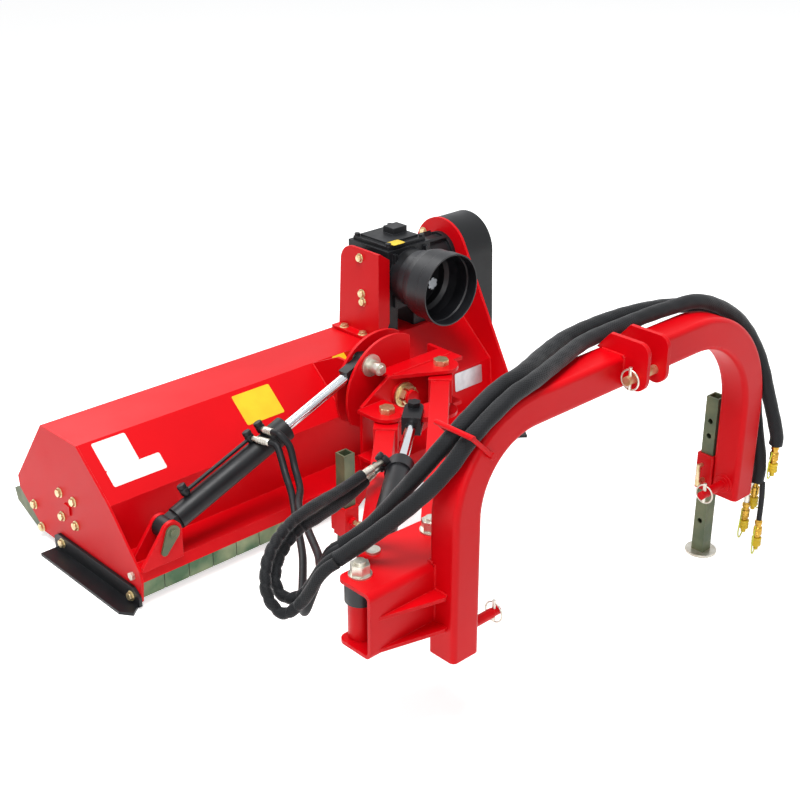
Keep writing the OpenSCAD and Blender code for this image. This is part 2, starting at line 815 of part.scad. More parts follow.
module banjo(port, out, seat, hose_end) {
    mid = port + out * (seat + 12);
    rod_between(port + out * seat, port + out * (seat + 22), 9);
    rod_between(port + out * (seat + 22), port + out * (seat + 32), 11);
    pull = unit(mid - hose_end);
    rod_between(mid, hose_end + pull * crimp_gap, 7);
    rod_between(hose_end + pull * 34, hose_end + pull * crimp_gap, 9);
}

module swing_fittings() {
    lift = 40;
    seat = gland_r + seat_gap;
    color(zinc) swing_frame() {
        banjo([swing_barrel_len - 32, 0, 0], [0, cos(lift), sin(lift)], seat,
            swing_local(end_of(swing_route_1)));
        banjo([swing_barrel_len - 12, 0, 0], [0, 1, 0], seat, swing_local(end_of(swing_route_2)));
    }
}

// Head: folded hood between two end plates
module hood() {
    color(red) in_yz(hood_x0, hood_x1 - hood_x0) polygon(sheet_line(hood_line, hood_sheet));
}

module left_end_plate() {
    color(red) in_yz(head_l, end_t) difference() {
        polygon(end_outline);
        translate([flap_y, flap_z]) circle(r = flap_rod_r + fit);
    }
}

module belt_plate_outline() {
    polygon([lip_low, [152, 19], [606, 20], [715, 110], hood_rear, [drive_y + plate_top_r + 30, 330],
        [drive_y + plate_top_r, drive_z], [drive_y, drive_z], [drive_y - 93, drive_z + 49], [198, 212],
        shelf_front]);
    translate([drive_y, drive_z]) circle(r = plate_top_r, $fn = 72);
}

module belt_plate() {
    color(red) in_yz(head_r - belt_plate_t, belt_plate_t) difference() {
        belt_plate_outline();
        translate([rotor_y, rotor_z]) circle(r = 24);
        translate([drive_y, drive_z]) circle(r = 45);
    }
}

// Pivot box on the hood, with the pin that the carrier turns on
module tilt_mount() {
    half = 60;
    side = 8;
    y0 = 206;
    front_t = 12;
    end = 56;
    color(red) {
        translate([tilt_x - half, y0, slope_low[1]]) cube([2 * half, front_t, 162]);
        for (x = [tilt_x - half, tilt_x + half - side])
            in_yz(x, side) polygon([[y0 + front_t, slope_low[1]], slope_low, hood_fold, [380, 352],
                [290, 395], [y0 + front_t, 395]]);
        rod_y([tilt_x, end, tilt_z], y0 - end, tilt_pin_r);
        rod_y([tilt_x, tilt_tube_back + slip, tilt_z], y0 - tilt_tube_back - slip, 34);
    }
}

module tilt_nut() {
    color(zinc) difference() {
        union() {
            rod_y([tilt_x, tilt_tube_front - slip - 5, tilt_z], 5, 34);
            hex_y([tilt_x, tilt_tube_front - slip - 27, tilt_z], 22, 52);
        }
        rod_y([tilt_x, 0, tilt_z], 120, tilt_pin_r + fit);
        for (a = [0, 60, 120])
            translate([tilt_x, 70, tilt_z]) rotate([0, a, 0]) cube([90, 16, 7], center = true);
    }
}

// Lugs on the shelf for the tilt cylinder, and their pin with its keeper
lug_gap = eye_w + 3;
lug_t = 10;

module cylinder_lugs() {
    color(red) difference() {
        for (y = [tilt_plane - lug_gap / 2 - lug_t, tilt_plane + lug_gap / 2])
            in_xz(y, lug_t) {
                translate(lug_pin) circle(r = 28);
                polygon([[lug_pin[0] - 86, shelf_front[1]], [lug_pin[0] - 86, shelf_front[1] + 10],
                    lug_pin + [-18, 21], lug_pin + [28, 0], [lug_pin[0] + 28, shelf_front[1]]]);
            }
        rod_y([lug_pin[0], 0, lug_pin[1]], 400, link_pin_r + fit);
    }
}

module cylinder_pin() {
    front = tilt_plane - lug_gap / 2 - lug_t;
    color(olive) {
        rod_y([lug_pin[0], front - 10, lug_pin[1]], lug_gap + 2 * lug_t + 16, link_pin_r);
        in_xz(front - 6, 6) {
            translate(lug_pin) circle(r = 19);
            translate(lug_pin + [-26, -44]) circle(r = 9);
            polygon([lug_pin + [-17, 9], lug_pin + [17, -10], lug_pin + [-18, -48], lug_pin + [-34, -40]]);
        }
    }
}

// Runners bolted under the end plates
module skid(x, way, web_h) {
    y0 = 136;
    y1 = 540;
    web_x = way > 0 ? x : x - 8;
    in_yz(web_x, 8) polygon([[y0 + 14, 8], [y0 + 14, 34], [y0 + 40, web_h], [y1 - 20, web_h],
        [y1, web_h - 12], [y1, 0], [y0 + 30, 0]]);
    in_xy(0, 8) polygon([[x, y0 + 30], [x + way * (skid_w - 22), y0 + 4], [x + way * skid_w, y0 + 34],
        [x + way * skid_w, y1 - 6], [x, y1 - 6]]);
}

module skids() {
    color(black) {
        skid(head_l, -1, 52);
        skid(head_r, 1, 36);
    }
}

// Rear roller and the brackets that hold its axle
module roller_bracket_outline() {
    difference() {
        polygon([[596, 112], [700, 118], [758, 88], [748, 54], [650, 10], [594, 22]]);
        translate([roller_y, roller_z]) circle(r = roller_axle_r + fit);
    }
}

module roller_brackets() {
    color(olive) for (x = [hood_x0, hood_x1 - 8])
        in_yz(x, 8) roller_bracket_outline();
}

module rear_roller() {
    x0 = hood_x0 + 12;
    x1 = hood_x1 - 12;
    color(steel) difference() {
        union() {
            rod_x([x0, roller_y, roller_z], x1 - x0, roller_d / 2);
            rod_x([hood_x0 + 1, roller_y, roller_z], hood_x1 - hood_x0 - 2, roller_axle_r);
        }
        rod_x([x0 + 8, roller_y, roller_z], x1 - x0 - 16, roller_d / 2 - 5);
    }
}

// Flaps that hang from a rod along the front edge
module flap_rod() {
    color(zinc) {
        rod_x([hood_x0, flap_y, flap_z], hood_x1 - hood_x0, flap_rod_r);
        hex_x([head_l - 8, flap_y, flap_z], 8, 19);
        rod_x([head_l, flap_y, flap_z], end_t, flap_rod_r);
    }
}

module flap(i) {
    x = hood_x0 + 4 + i * flap_pitch;
    w = flap_pitch - 3;
    difference() {
        union() {
            rod_x([x, flap_y, flap_z], w, flap_rod_r + 5);
            translate([x, flap_y - 9, flap_z - flap_drop]) cube([w, 5, flap_drop]);
        }
        rod_x([x - 1, flap_y, flap_z], w + 2, flap_rod_r + fit);
    }
}

module odd_flaps() {
    color(olive) for (i = [0 : 2 : flap_count - 1])
        flap(i);
}

module even_flaps() {
    color(olive) for (i = [1 : 2 : flap_count - 1])
        flap(i);
}

// Rotor with its flails, and the flange bearings in the end plates
module rotor() {
    x0 = hood_x0 + 26;
    x1 = hood_x1 - 26;
    color(red) {
        difference() {
            rod_x([x0, rotor_y, rotor_z], x1 - x0, rotor_tube_d / 2);
            rod_x([x0 + 12, rotor_y, rotor_z], x1 - x0 - 24, rotor_tube_d / 2 - 8);
        }
        rod_x([hood_x0 + 2, rotor_y, rotor_z], x0 - hood_x0 - 2, shaft_r);
        rod_x([x1, rotor_y, rotor_z], belt_x + pulley_w - x1, shaft_r);
        for (i = [0 : flail_stations - 1])
            flail_seat(i) difference() {
                for (s = [-1, 1])
                    translate([s * 14 - 4, -18, rotor_tube_d / 2 - 3]) cube([8, 36, 28]);
                rod_x([-30, 0, rotor_tube_d / 2 + flail_hang], 60, flail_pin_r + fit);
            }
    }
}

module flail_seat(i) {
    span = hood_x1 - hood_x0 - 190;
    translate([hood_x0 + 95 + i * span / (flail_stations - 1), rotor_y, rotor_z])
        rotate([i * 150, 0, 0]) children();
}

module flails() {
    hang = rotor_tube_d / 2 + flail_hang;
    color(steel) for (i = [0 : flail_stations - 1])
        flail_seat(i) {
            rod_x([-22, 0, hang], 44, flail_pin_r);
            for (s = [-1, 1]) {
                translate([s * 5 - 3, -15, hang - 8]) cube([6, 30, 24]);
                in_xz(-15, 30) polygon([[s * 2, hang + 14], [s * 8, hang + 14], [s * 40, flail_reach - 4],
                    [s * 34, flail_reach - 2]]);
            }
        }
}

module flange_bearing(x, w) {
    in_yz(x, w) difference() {
        union() {
            translate([rotor_y, rotor_z]) circle(r = 40);
            translate([rotor_y - 47, rotor_z - 47]) square(94);
        }
        translate([rotor_y, rotor_z]) circle(r = shaft_r + fit);
    }
}

module rotor_bearings() {
    color(steel) {
        flange_bearing(hood_x0, 22);
        flange_bearing(hood_x1 - 22, 22);
        in_yz(head_l - 4, 4) translate([rotor_y - 13, rotor_z - 13]) square(26);
    }
}

// Bevel gearbox on its folded bracket
module gearbox_bracket() {
    x = gear_x0 - 36;
    t = 8;
    y0 = hood_fold[0];
    y1 = 559;
    z0 = hood_fold[1];
    top = 602;
    corner = 52;
    color(red) {
        in_yz(x - t, t) {
            polygon([[y0, z0], [y1, z0], [y1 - 12, top - corner], [y1 - 12 - corner, top], [y0, top]]);
            translate([y1 - 12 - corner, top - corner]) circle(r = corner);
        }
        in_xz(y0 - t, t) polygon([[x - t, z0], [x + 12, z0], [x + 34, z0 + 44], [x + 34, top - 24], [x, top],
            [x - t, top]]);
        translate([x - t - 28, y0 - t, z0]) cube([28, y1 - y0 + t, t]);
    }
}

module gearbox_housing() {
    half = 84;
    low = drive_z - 92;
    high = drive_z + 86;
    neck_r = 78;
    out_r = 56;
    plate_x = gear_x0 - 36;
    belt_face = head_r - belt_plate_t;
    color(black) difference() {
        union() {
            translate([gear_x0, drive_y - half, low]) cube([gear_x1 - gear_x0, 2 * half, high - low]);
            rod_y([pto_x, gear_front, drive_z], drive_y - half - gear_front, neck_r);
            rod_x([plate_x, drive_y, drive_z], gear_x0 - plate_x, 72);
            rod_x([gear_x1, drive_y, drive_z], belt_face - gear_x1, out_r);
            rod_x([gear_x1, drive_y, drive_z], 14, out_r + 20);
            rod_x([belt_face - 14, drive_y, drive_z], 14, out_r + 8);
            for (a = [30 : 60 : 330])
                translate([gear_x1, drive_y, drive_z]) rotate([a, 0, 0]) translate([0, -5, out_r - 4])
                    cube([belt_face - gear_x1 - 14, 10, 18]);
            for (x = [gear_x0 + 18 : 40 : gear_x1 - 20])
                translate([x, drive_y - half - 10, low + 10]) cube([10, 2 * half + 20, high - low - 20]);
            for (x = [gear_x0, gear_x1 - 50])
                translate([x, drive_y - half + 14, hood_fold[1]])
                    cube([50, 2 * half - 28, low - hood_fold[1]]);
        }
        rod_y([pto_x, gear_front - 1, drive_z], drive_y - 20 - gear_front, pto_d / 2 + fit);
        rod_x([pto_x + 40, drive_y, drive_z], belt_face, cross_r + fit);
    }
}

module gearbox_cover() {
    base = drive_z + 86;
    color(black) {
        translate([gear_x0 + 10, drive_y - 74, base]) cube([gear_x1 - gear_x0 - 20, 148, 10]);
        translate([gear_x0 + 24, drive_y - 58, base + 10]) cube([gear_x1 - gear_x0 - 48, 116, 6]);
        translate([pto_x + 4, drive_y - 16, base + 16]) cube([52, 44, 18]);
        for (x = [gear_x0 + 18, gear_x1 - 18], y = [drive_y - 66, drive_y + 66])
            hex_z([x, y, base + 10], 8, 15);
    }
}

// Stepped cup round the input shaft
module pto_guard() {
    r = guard_d / 2;
    wall = 4;
    l = gear_front - guard_mouth;
    color(black) translate([pto_x, gear_front, drive_z]) rotate([90, 0, 0]) rotate_extrude($fn = 96)
        polygon([[52, 0], [82, 0], [82, 24], [92, 34], [r - 3, 60], [r - 3, 96], [r, 100], [r, l],
            [r - wall, l], [r - wall, 104], [r - wall - 3, 100], [r - wall - 3, 62], [88, 38], [78, 28],
            [78, wall], [52, wall]]);
}

module pto_shaft() {
    start = 296;
    color(steel) {
        difference() {
            rod_y([pto_x, start, drive_z], drive_y - start - 24, pto_d / 2);
            for (a = [0 : 60 : 300])
                translate([pto_x, start - 1, drive_z]) rotate([0, a, 0]) translate([pto_d / 2 - 3, 0, -4])
                    cube([10, gear_front - start - 12, 8]);
        }
        rod_y([pto_x, gear_front - 12, drive_z], 12 - slip, pto_d / 2 + 10);
    }
}

module cross_shaft() {
    color(steel) rod_x([pto_x + 42, drive_y, drive_z], belt_x + pulley_w - pto_x - 42, cross_r);
}

// Grooved pulleys and the belts that run in them
module pulley(p, d, bore) {
    r = d / 2;
    translate([belt_x, p[0], p[1]]) rotate([0, 90, 0]) difference() {
        cylinder(h = pulley_w, r = r);
        for (i = [0 : belt_count - 1])
            translate([0, 0, 3 + belt_pitch * (i + 0.5)]) rotate_extrude($fn = 96)
                polygon([[r - 14, -3.4], [r + 1, -7.4], [r + 1, 7.4], [r - 14, 3.4]]);
        translate([0, 0, -1]) cylinder(h = pulley_w + 2, r = bore);
    }
}

module upper_pulley() {
    color(steel) pulley([drive_y, drive_z], upper_pulley_d, cross_r + fit);
}

module lower_pulley() {
    color(steel) pulley([rotor_y, rotor_z], lower_pulley_d, shaft_r + fit);
}

module belt_loop(extra) {
    top = [drive_y, drive_z];
    low = [rotor_y, rotor_z];
    ra = upper_pulley_d / 2 + extra;
    rb = lower_pulley_d / 2 + extra;
    span = norm(top - low);
    up = unit(top - low);
    lean = asin((ra - rb) / span);
    base = atan2(up[1], up[0]);
    side_a = base + 90 - lean;
    side_b = base - 90 + lean;
    translate(top) circle(r = ra, $fn = 96);
    translate(low) circle(r = rb, $fn = 96);
    polygon([for (c = [[top, ra, side_a], [low, rb, side_a], [low, rb, side_b], [top, ra, side_b]])
        c[0] + c[1] * [cos(c[2]), sin(c[2])]]);
}

module drive_belts() {
    color(black) for (i = [0 : belt_count - 1])
        in_yz(belt_x + 3 + belt_pitch * (i + 0.5) - belt_w / 2, belt_w) difference() {
            belt_loop(belt_drop);
            belt_loop(belt_drop - belt_depth);
        }
}

// Cover over the belts, open towards the belt plate
module cover_outline(inset) {
    top = [drive_y, drive_z];
    low = [rotor_y, rotor_z];
    r = plate_top_r - 2 - inset;
    side = left_of(unit(top - low));
    translate(top) circle(r = r, $fn = 96);
    translate(low) circle(r = r, $fn = 96);
    polygon([top + r * side, low + r * side, low - r * side, top - r * side]);
}

module belt_cover() {
    color(black) difference() {
        in_yz(head_r, cover_depth) cover_outline(0);
        in_yz(head_r - 1, cover_depth + 1 - cover_wall) cover_outline(cover_wall);
    }
}

// Bolt heads on the head's outer faces
module head_bolts() {
    plate_x = gear_x0 - 36 - 8;
    h = 9;
    across = 19;
    color(zinc) {
        for (y = [-33, 33], z = [-34, 34])
            hex_x([head_l - h, rotor_y + y, rotor_z + z], h, across);
        for (p = [[643, 86], [615, 30]])
            hex_x([head_l - h, p[0], p[1]], h, across);
        for (p = [[184, 26], [500, 34]])
            hex_x([head_l - 8 - h, p[0], p[1]], h, across);
        for (y = [190, 500])
            hex_x([head_r + 8, y, 22], h, across);
        for (p = [[463, 575], [456, 470], [452, 446]])
            hex_x([plate_x - h, p[0], p[1]], h, across);
        for (y = [440, 520])
            hex_z([plate_x - 14, y, hood_fold[1] + 8], h, across);
        hex_x([head_r - belt_plate_t - h, drive_y + 74, drive_z + 46], h, across);
    }
}

// Tilt cylinder
module tilt_frame() {
    translate([lug_pin[0], tilt_plane, lug_pin[1]]) rotate([0, -tilt_turn, 0]) rotate([90, 0, 0]) children();
}

module tilt_barrel() {
    color(black) tilt_frame() barrel(tilt_barrel_len);
}

module tilt_rod() {
    color(chrome) tilt_frame() piston_rod(tilt_barrel_len - 202, tilt_len - 50);
}

module tilt_yoke() {
    color(black) tilt_frame() difference() {
        union() {
            translate([tilt_len, 0, -15]) cylinder(h = 30, r = 26);
            translate([tilt_len - 72, -21, -15]) cube([60, 42, 30]);
        }
        translate([tilt_len, 0, -40]) cylinder(h = 80, r = link_pin_r + fit);
        rod_x([tilt_len - 80, 0, 0], 30, rod_d / 2 + fit);
    }
}

// Pin that joins the rod's eye to the quadrant plates, with its washers and nut
module tilt_pin() {
    plate = (quadrant_y[1] - quadrant_y[0] + quadrant_t) / 2;
    washer_t = 6;
    color(zinc) tilt_frame() translate([tilt_len, 0, 0]) {
        translate([0, 0, -plate - 14]) cylinder(h = 2 * plate + 44, r = link_pin_r);
        for (z = [-plate - slip - washer_t, plate + slip])
            translate([0, 0, z]) cylinder(h = washer_t, r = 30);
        translate([0, 0, plate + slip + washer_t]) cylinder(h = 34, r = 17);
        translate([0, 0, plate + slip + washer_t + 34]) cylinder(h = 8, d = 24, $fn = 6);
        translate([0, 0, -plate - slip - washer_t - 14]) cylinder(h = 14, d = 34, $fn = 6);
    }
}

// Steel pipe along the tilt cylinder's barrel, with its banjos
function tilt_local(p) = let (v = [p[0], p[2]] - lug_pin, d = unit(tilt_run))
    [v * d, v[1] * d[0] - v[0] * d[1], tilt_plane - p[1]];

module tilt_fittings() {
    seat = barrel_d / 2 + seat_gap;
    turn = -18;
    base = 90;
    up = [0, cos(turn), sin(turn)];
    pipe_end = tilt_barrel_len - 94;
    color(zinc) tilt_frame() {
        banjo([tilt_barrel_len - 56, 0, 0], up, seat, tilt_local(end_of(tilt_route_2)));
        banjo([pipe_end, 0, 0], up, seat, tilt_local(end_of(tilt_route_1)));
        rod_between([base, 0, 0] + up * seat, [base, 0, 0] + up * (seat + 22), 9);
        rod_between([base, 0, 0] + up * (seat + 22), [base, 0, 0] + up * (seat + 32), 11);
        rod_between([base, 0, 0] + up * (seat + 10), [pipe_end, 0, 0] + up * (seat + 10), 5);
    }
}

// Hoses: hand-set routes of their middle lines
arch_route_1 = [[603, -722, 318], [602, -721, 348], [585, -700, 440], [556, -671, 562], [479, -650, 666],
    [354, -634, 734], [235, -622, 743], [100, -615, 742], [-40, -620, 742], [-160, -652, 743],
    [-267, -683, 744], [-332, -690, 737], [-391, -689, 712], [-442, -680, 673], [-478, -667, 626],
    [-508, -643, 579], [-538, -608, 530], [-580, -560, 470], [-622, -500, 405]];
arch_route_2 = [[592, -690, 208], [593, -690, 262], [592, -669, 355], [586, -646, 470], [546, -618, 590],
    [460, -602, 672], [345, -598, 716], [235, -584, 735], [100, -573, 742], [-40, -577, 742],
    [-150, -605, 743], [-258, -644, 746], [-335, -653, 739], [-398, -652, 711], [-447, -643, 674],
    [-484, -617, 620], [-507, -588, 570], [-524, -550, 512], [-546, -508, 452], [-579, -464, 404]];
tail_1 = [[596, -704, 207.7], [594, -708, 160], [594, -708, 104]];
tail_2 = [[579, -684, 207.7], [575, -678, 180], [575, -678, 150]];
swing_route_1 = [[-633, -507, 404], [-653, -483, 375], [-674, -446, 302], [-700, -414, 270],
    [-714, -382, 310], [-684, -350, 362], [-620, -325, 395], [-525, -293, 396], [-398, -250, 377],
    [-324, -236, 381]];
swing_route_2 = [[-612, -489, 404], [-633, -466, 375], [-651, -426, 304], [-672, -390, 284],
    [-676, -362, 312], [-642, -336, 346], [-578, -312, 368], [-494, -286, 361], [-380, -246, 348],
    [-304, -222, 352]];
tilt_route_1 = [[-587, -468, 403], [-606, -447, 378], [-622, -424, 300], [-628, -396, 232],
    [-590, -340, 222], [-498, -230, 238], [-411, -100, 242], [-346, -5, 245], [-323, 45, 269],
    [-309, 80, 300], [-303, 103, 322], [-308, 124, 325]];
tilt_route_2 = [[-571, -457, 403], [-586, -430, 378], [-584, -398, 326], [-535, -330, 304],
    [-464, -210, 282], [-401, -100, 272], [-325, -10, 258], [-295, 45, 280], [-285, 76, 325],
    [-296, 101, 352], [-296, 126, 348]];

module arch_hoses() {
    tail_d = 14;
    color(black) {
        hose(arch_route_1, 2, sleeve_d);
        hose(arch_route_2, 2, sleeve_d);
        hose(tail_1, 2, tail_d);
        hose(tail_2, 2, tail_d);
    }
}

module swing_hose() {
    color(black) {
        hose(swing_route_1, 3, swing_hose_d);
        hose(swing_route_2, 3, swing_hose_d);
    }
}

module tilt_hose() {
    color(black) {
        hose(tilt_route_1, 3, tilt_hose_d);
        hose(tilt_route_2, 3, tilt_hose_d);
    }
}

// Quick couplers on the hose ends, with their caps
coupler_gap = [0, 0, 0.8];
coupler_tops = [for (p = [arch_route_1[0], arch_route_2[0] + [8, 8, 0], end_of(tail_1), end_of(tail_2)])
    p - coupler_gap];
coupler_l = 50;

module couplers() {
    color(brass) for (p = coupler_tops)
        translate(p - [0, 0, coupler_l]) {
            cylinder(h = coupler_l, r = 8);
            translate([0, 0, 8]) cylinder(h = 22, r = 11);
        }
}

module dust_caps() {
    color(yellow) for (p = coupler_tops)
        translate(p - [0, 0, coupler_l + 24]) {
            cylinder(h = 24, r = 12);
            translate([0, 0, -12]) cylinder(h = 12, r = 6);
        }
}

hitch_arch();
pivot_bracket();
top_link_clevis();
top_link_pin();
lower_link_pins();
linch_pins();
jack_sleeve();
frame_pivot_bolts();
pivot_spacers();
left_arm();
right_arm();
carrier_frame();
quadrant_plates();
arm_pivot_bolts();
stand_sleeve();
parking_stand();
stand_screw();
jack_leg();
jack_pin();
swing_barrel();
swing_rod();
swing_yoke();
swing_fittings();
hood();
left_end_plate();
belt_plate();
tilt_mount();
tilt_nut();
cylinder_lugs();
cylinder_pin();
skids();
roller_brackets();
flap_rod();
gearbox_bracket();
gearbox_housing();
gearbox_cover();
pto_guard();
belt_cover();
rotor_bearings();
head_bolts();
drive_belts();
tilt_barrel();
tilt_rod();
tilt_yoke();
tilt_pin();
tilt_fittings();
pto_shaft();
cross_shaft();
upper_pulley();
rotor();
flails();
lower_pulley();
rear_roller();
odd_flaps();
even_flaps();
arch_hoses();
swing_hose();
tilt_hose();
couplers();
dust_caps();
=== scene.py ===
"""Dresses the offset flail mower: finishes, hoses, fasteners, welds, blank plates, studio and camera."""

import json
import logging
import math
from dataclasses import dataclass
from enum import Enum

import bmesh
import bpy
import numpy as np
from mathutils import Matrix, Vector


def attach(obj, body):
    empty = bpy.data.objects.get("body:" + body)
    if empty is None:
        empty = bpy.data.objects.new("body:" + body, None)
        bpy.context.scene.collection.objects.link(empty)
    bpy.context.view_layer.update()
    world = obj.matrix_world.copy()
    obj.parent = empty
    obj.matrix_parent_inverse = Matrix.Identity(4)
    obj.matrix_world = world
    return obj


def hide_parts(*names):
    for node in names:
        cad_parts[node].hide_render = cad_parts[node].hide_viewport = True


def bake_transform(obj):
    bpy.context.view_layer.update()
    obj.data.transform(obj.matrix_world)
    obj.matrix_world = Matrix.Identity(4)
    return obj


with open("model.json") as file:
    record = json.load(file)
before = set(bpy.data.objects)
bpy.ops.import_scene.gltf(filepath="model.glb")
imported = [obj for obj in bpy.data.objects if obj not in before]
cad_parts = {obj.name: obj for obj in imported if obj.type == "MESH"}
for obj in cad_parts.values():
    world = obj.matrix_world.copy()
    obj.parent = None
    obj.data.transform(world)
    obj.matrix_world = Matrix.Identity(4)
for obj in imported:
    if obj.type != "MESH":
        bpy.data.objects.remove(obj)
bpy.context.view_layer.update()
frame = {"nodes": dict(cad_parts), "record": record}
MM = 0.001
log = logging.getLogger("flail_mower")
Point = tuple[float, float, float]
Route = tuple[Point, ...]


def linear(code: str) -> tuple[float, float, float, float]:
    """Turns an sRGB hex value into linear colour.

    Args:
        code: the value as "#rrggbb".
    Returns:
        Linear red, green, blue and alpha.
    """
    parts = [int(code[i:i + 2], 16) / 255.0 for i in (1, 3, 5)]
    return (*(c / 12.92 if c <= 0.04045 else ((c + 0.055) / 1.055) ** 2.4 for c in parts), 1.0)


def add(tree: bpy.types.NodeTree, kind: str, feeds: dict | None = None, **settings: object) -> bpy.types.Node:
    """Adds a node to a tree.

    Args:
        tree: the tree that takes the node.
        kind: the node's type name.
        feeds: for a socket's name or number, a value or the socket that feeds it.
        settings: the node's own settings.
    Returns:
        The new node.
    """
    made = tree.nodes.new(kind)
    for key, value in settings.items():
        setattr(made, key, value)
    for key, value in (feeds or {}).items():
        if isinstance(value, bpy.types.NodeSocket):
            tree.links.new(value, made.inputs[key])
        else:
            made.inputs[key].default_value = value
    return made


def blank_material(name: str) -> bpy.types.Material:
    """Makes a material with an empty node tree.

    Args:
        name: the material's name.
    Returns:
        The material.
    """
    made = bpy.data.materials.new(name)
    made.use_nodes = True
    made.node_tree.nodes.clear()
    return made


class Detail(Enum):
    """How a finish's fine grain lies on the surface."""

    EVEN = "even"
    DRAWN = "drawn"


@dataclass(frozen=True)
class Coating:
    """A named surface, whose material is made once."""

    name: str

    def material(self) -> bpy.types.Material:
        """Gives the material, made on the first call.

        Returns:
            The material of that name.
        """
        made = bpy.data.materials.get(self.name)
        if not made:
            made = blank_material(self.name)
            self.lay(made.node_tree)
        return made

    def lay(self, tree: bpy.types.NodeTree) -> None:
        """Lays the surface's nodes in the material's tree."""
        raise NotImplementedError


@dataclass(frozen=True)
class Finish(Coating):
    """A solid surface: its colours, clouding, gloss, grain, and a colour along its edges: edge wear, and on
    the red paint a painted highlight.

    The clouding, grain and edge sizes are in millimetres.
    """

    base: str
    shade: str
    cloud_mm: float
    rough: tuple[float, float]
    grain_mm: float
    grain_depth_mm: float
    metallic: float = 0.0
    specular: float = 0.5
    edge: str = ""
    edge_mm: float = 1.5
    detail: Detail = Detail.EVEN

    def lay(self, tree: bpy.types.NodeTree) -> None:
        """Lays the surface's nodes.

        Args:
            tree: the material's tree.
        """
        place = add(tree, "ShaderNodeTexCoord").outputs["Object"]
        cloud = add(tree, "ShaderNodeTexNoise",
                    {"Vector": place, "Scale": 1000.0 / self.cloud_mm, "Detail": 4.0})
        mask = add(tree, "ShaderNodeMapRange", {0: cloud.outputs[0], 1: 0.38, 2: 0.66})
        colour = add(tree, "ShaderNodeMix", {0: mask.outputs[0], 6: linear(self.base), 7: linear(self.shade)},
                     data_type="RGBA").outputs[2]
        rounded = add(tree, "ShaderNodeBevel", {"Radius": self.edge_mm * MM}, samples=4)
        # The edge colour is edge wear, and on the red paint a painted highlight
        if self.edge:
            colour = self.edge_wear_and_highlight(tree, place, rounded.outputs[0], colour)
        stretch = (1.0, 1.0, 0.06) if self.detail is Detail.DRAWN else (1.0, 1.0, 1.0)
        drawn = add(tree, "ShaderNodeVectorMath", {0: place, 1: stretch}, operation="MULTIPLY")
        grain = add(tree, "ShaderNodeTexNoise",
                    {"Vector": drawn.outputs[0], "Scale": 1000.0 / self.grain_mm, "Detail": 2.0})
        bump = add(tree, "ShaderNodeBump", {"Strength": 0.6, "Distance": self.grain_depth_mm * MM,
                                            "Height": grain.outputs[0], "Normal": rounded.outputs[0]})
        # Handling marks are a finer cloud than the colour's
        smear = add(tree, "ShaderNodeTexNoise",
                    {"Vector": place, "Scale": 2600.0 / self.cloud_mm, "Detail": 5.0})
        rough = add(tree, "ShaderNodeMapRange",
                    {0: smear.outputs[0], 1: 0.3, 2: 0.7, 3: self.rough[0], 4: self.rough[1]})
        shader = add(tree, "ShaderNodeBsdfPrincipled", {
            "Base Color": colour, "Roughness": rough.outputs[0], "Metallic": self.metallic,
            "Specular IOR Level": self.specular, "Normal": bump.outputs[0]})
        add(tree, "ShaderNodeOutputMaterial", {"Surface": shader.outputs[0]})

    def edge_wear_and_highlight(self, tree: bpy.types.NodeTree, place: bpy.types.NodeSocket, rounded: bpy.types.NodeSocket,
             colour: bpy.types.NodeSocket) -> bpy.types.NodeSocket:
        """Lays the edge colour along edges, broken up by noise: edge wear, and on the red paint a painted
        highlight.

        Args:
            tree: the material's tree.
            place: object coordinates.
            rounded: the normal with its edges rounded.
            colour: the colour below the wear and the painted highlight.
        Returns:
            The colour with its worn edges and painted edge highlights.
        """
        flat = add(tree, "ShaderNodeNewGeometry").outputs["True Normal"]
        turn = add(tree, "ShaderNodeVectorMath", {0: rounded, 1: flat}, operation="DOT_PRODUCT")
        rim = add(tree, "ShaderNodeMapRange", {0: turn.outputs["Value"], 1: 0.97, 2: 0.80})
        specks = add(tree, "ShaderNodeTexNoise", {"Vector": place, "Scale": 55.0, "Detail": 6.0})
        gate = add(tree, "ShaderNodeMapRange", {0: specks.outputs[0], 1: 0.34, 2: 0.6})
        both = add(tree, "ShaderNodeMath", {0: rim.outputs[0], 1: gate.outputs[0]}, operation="MULTIPLY")
        return add(tree, "ShaderNodeMix", {0: both.outputs[0], 6: colour, 7: linear(self.edge)},
                   data_type="RGBA").outputs[2]


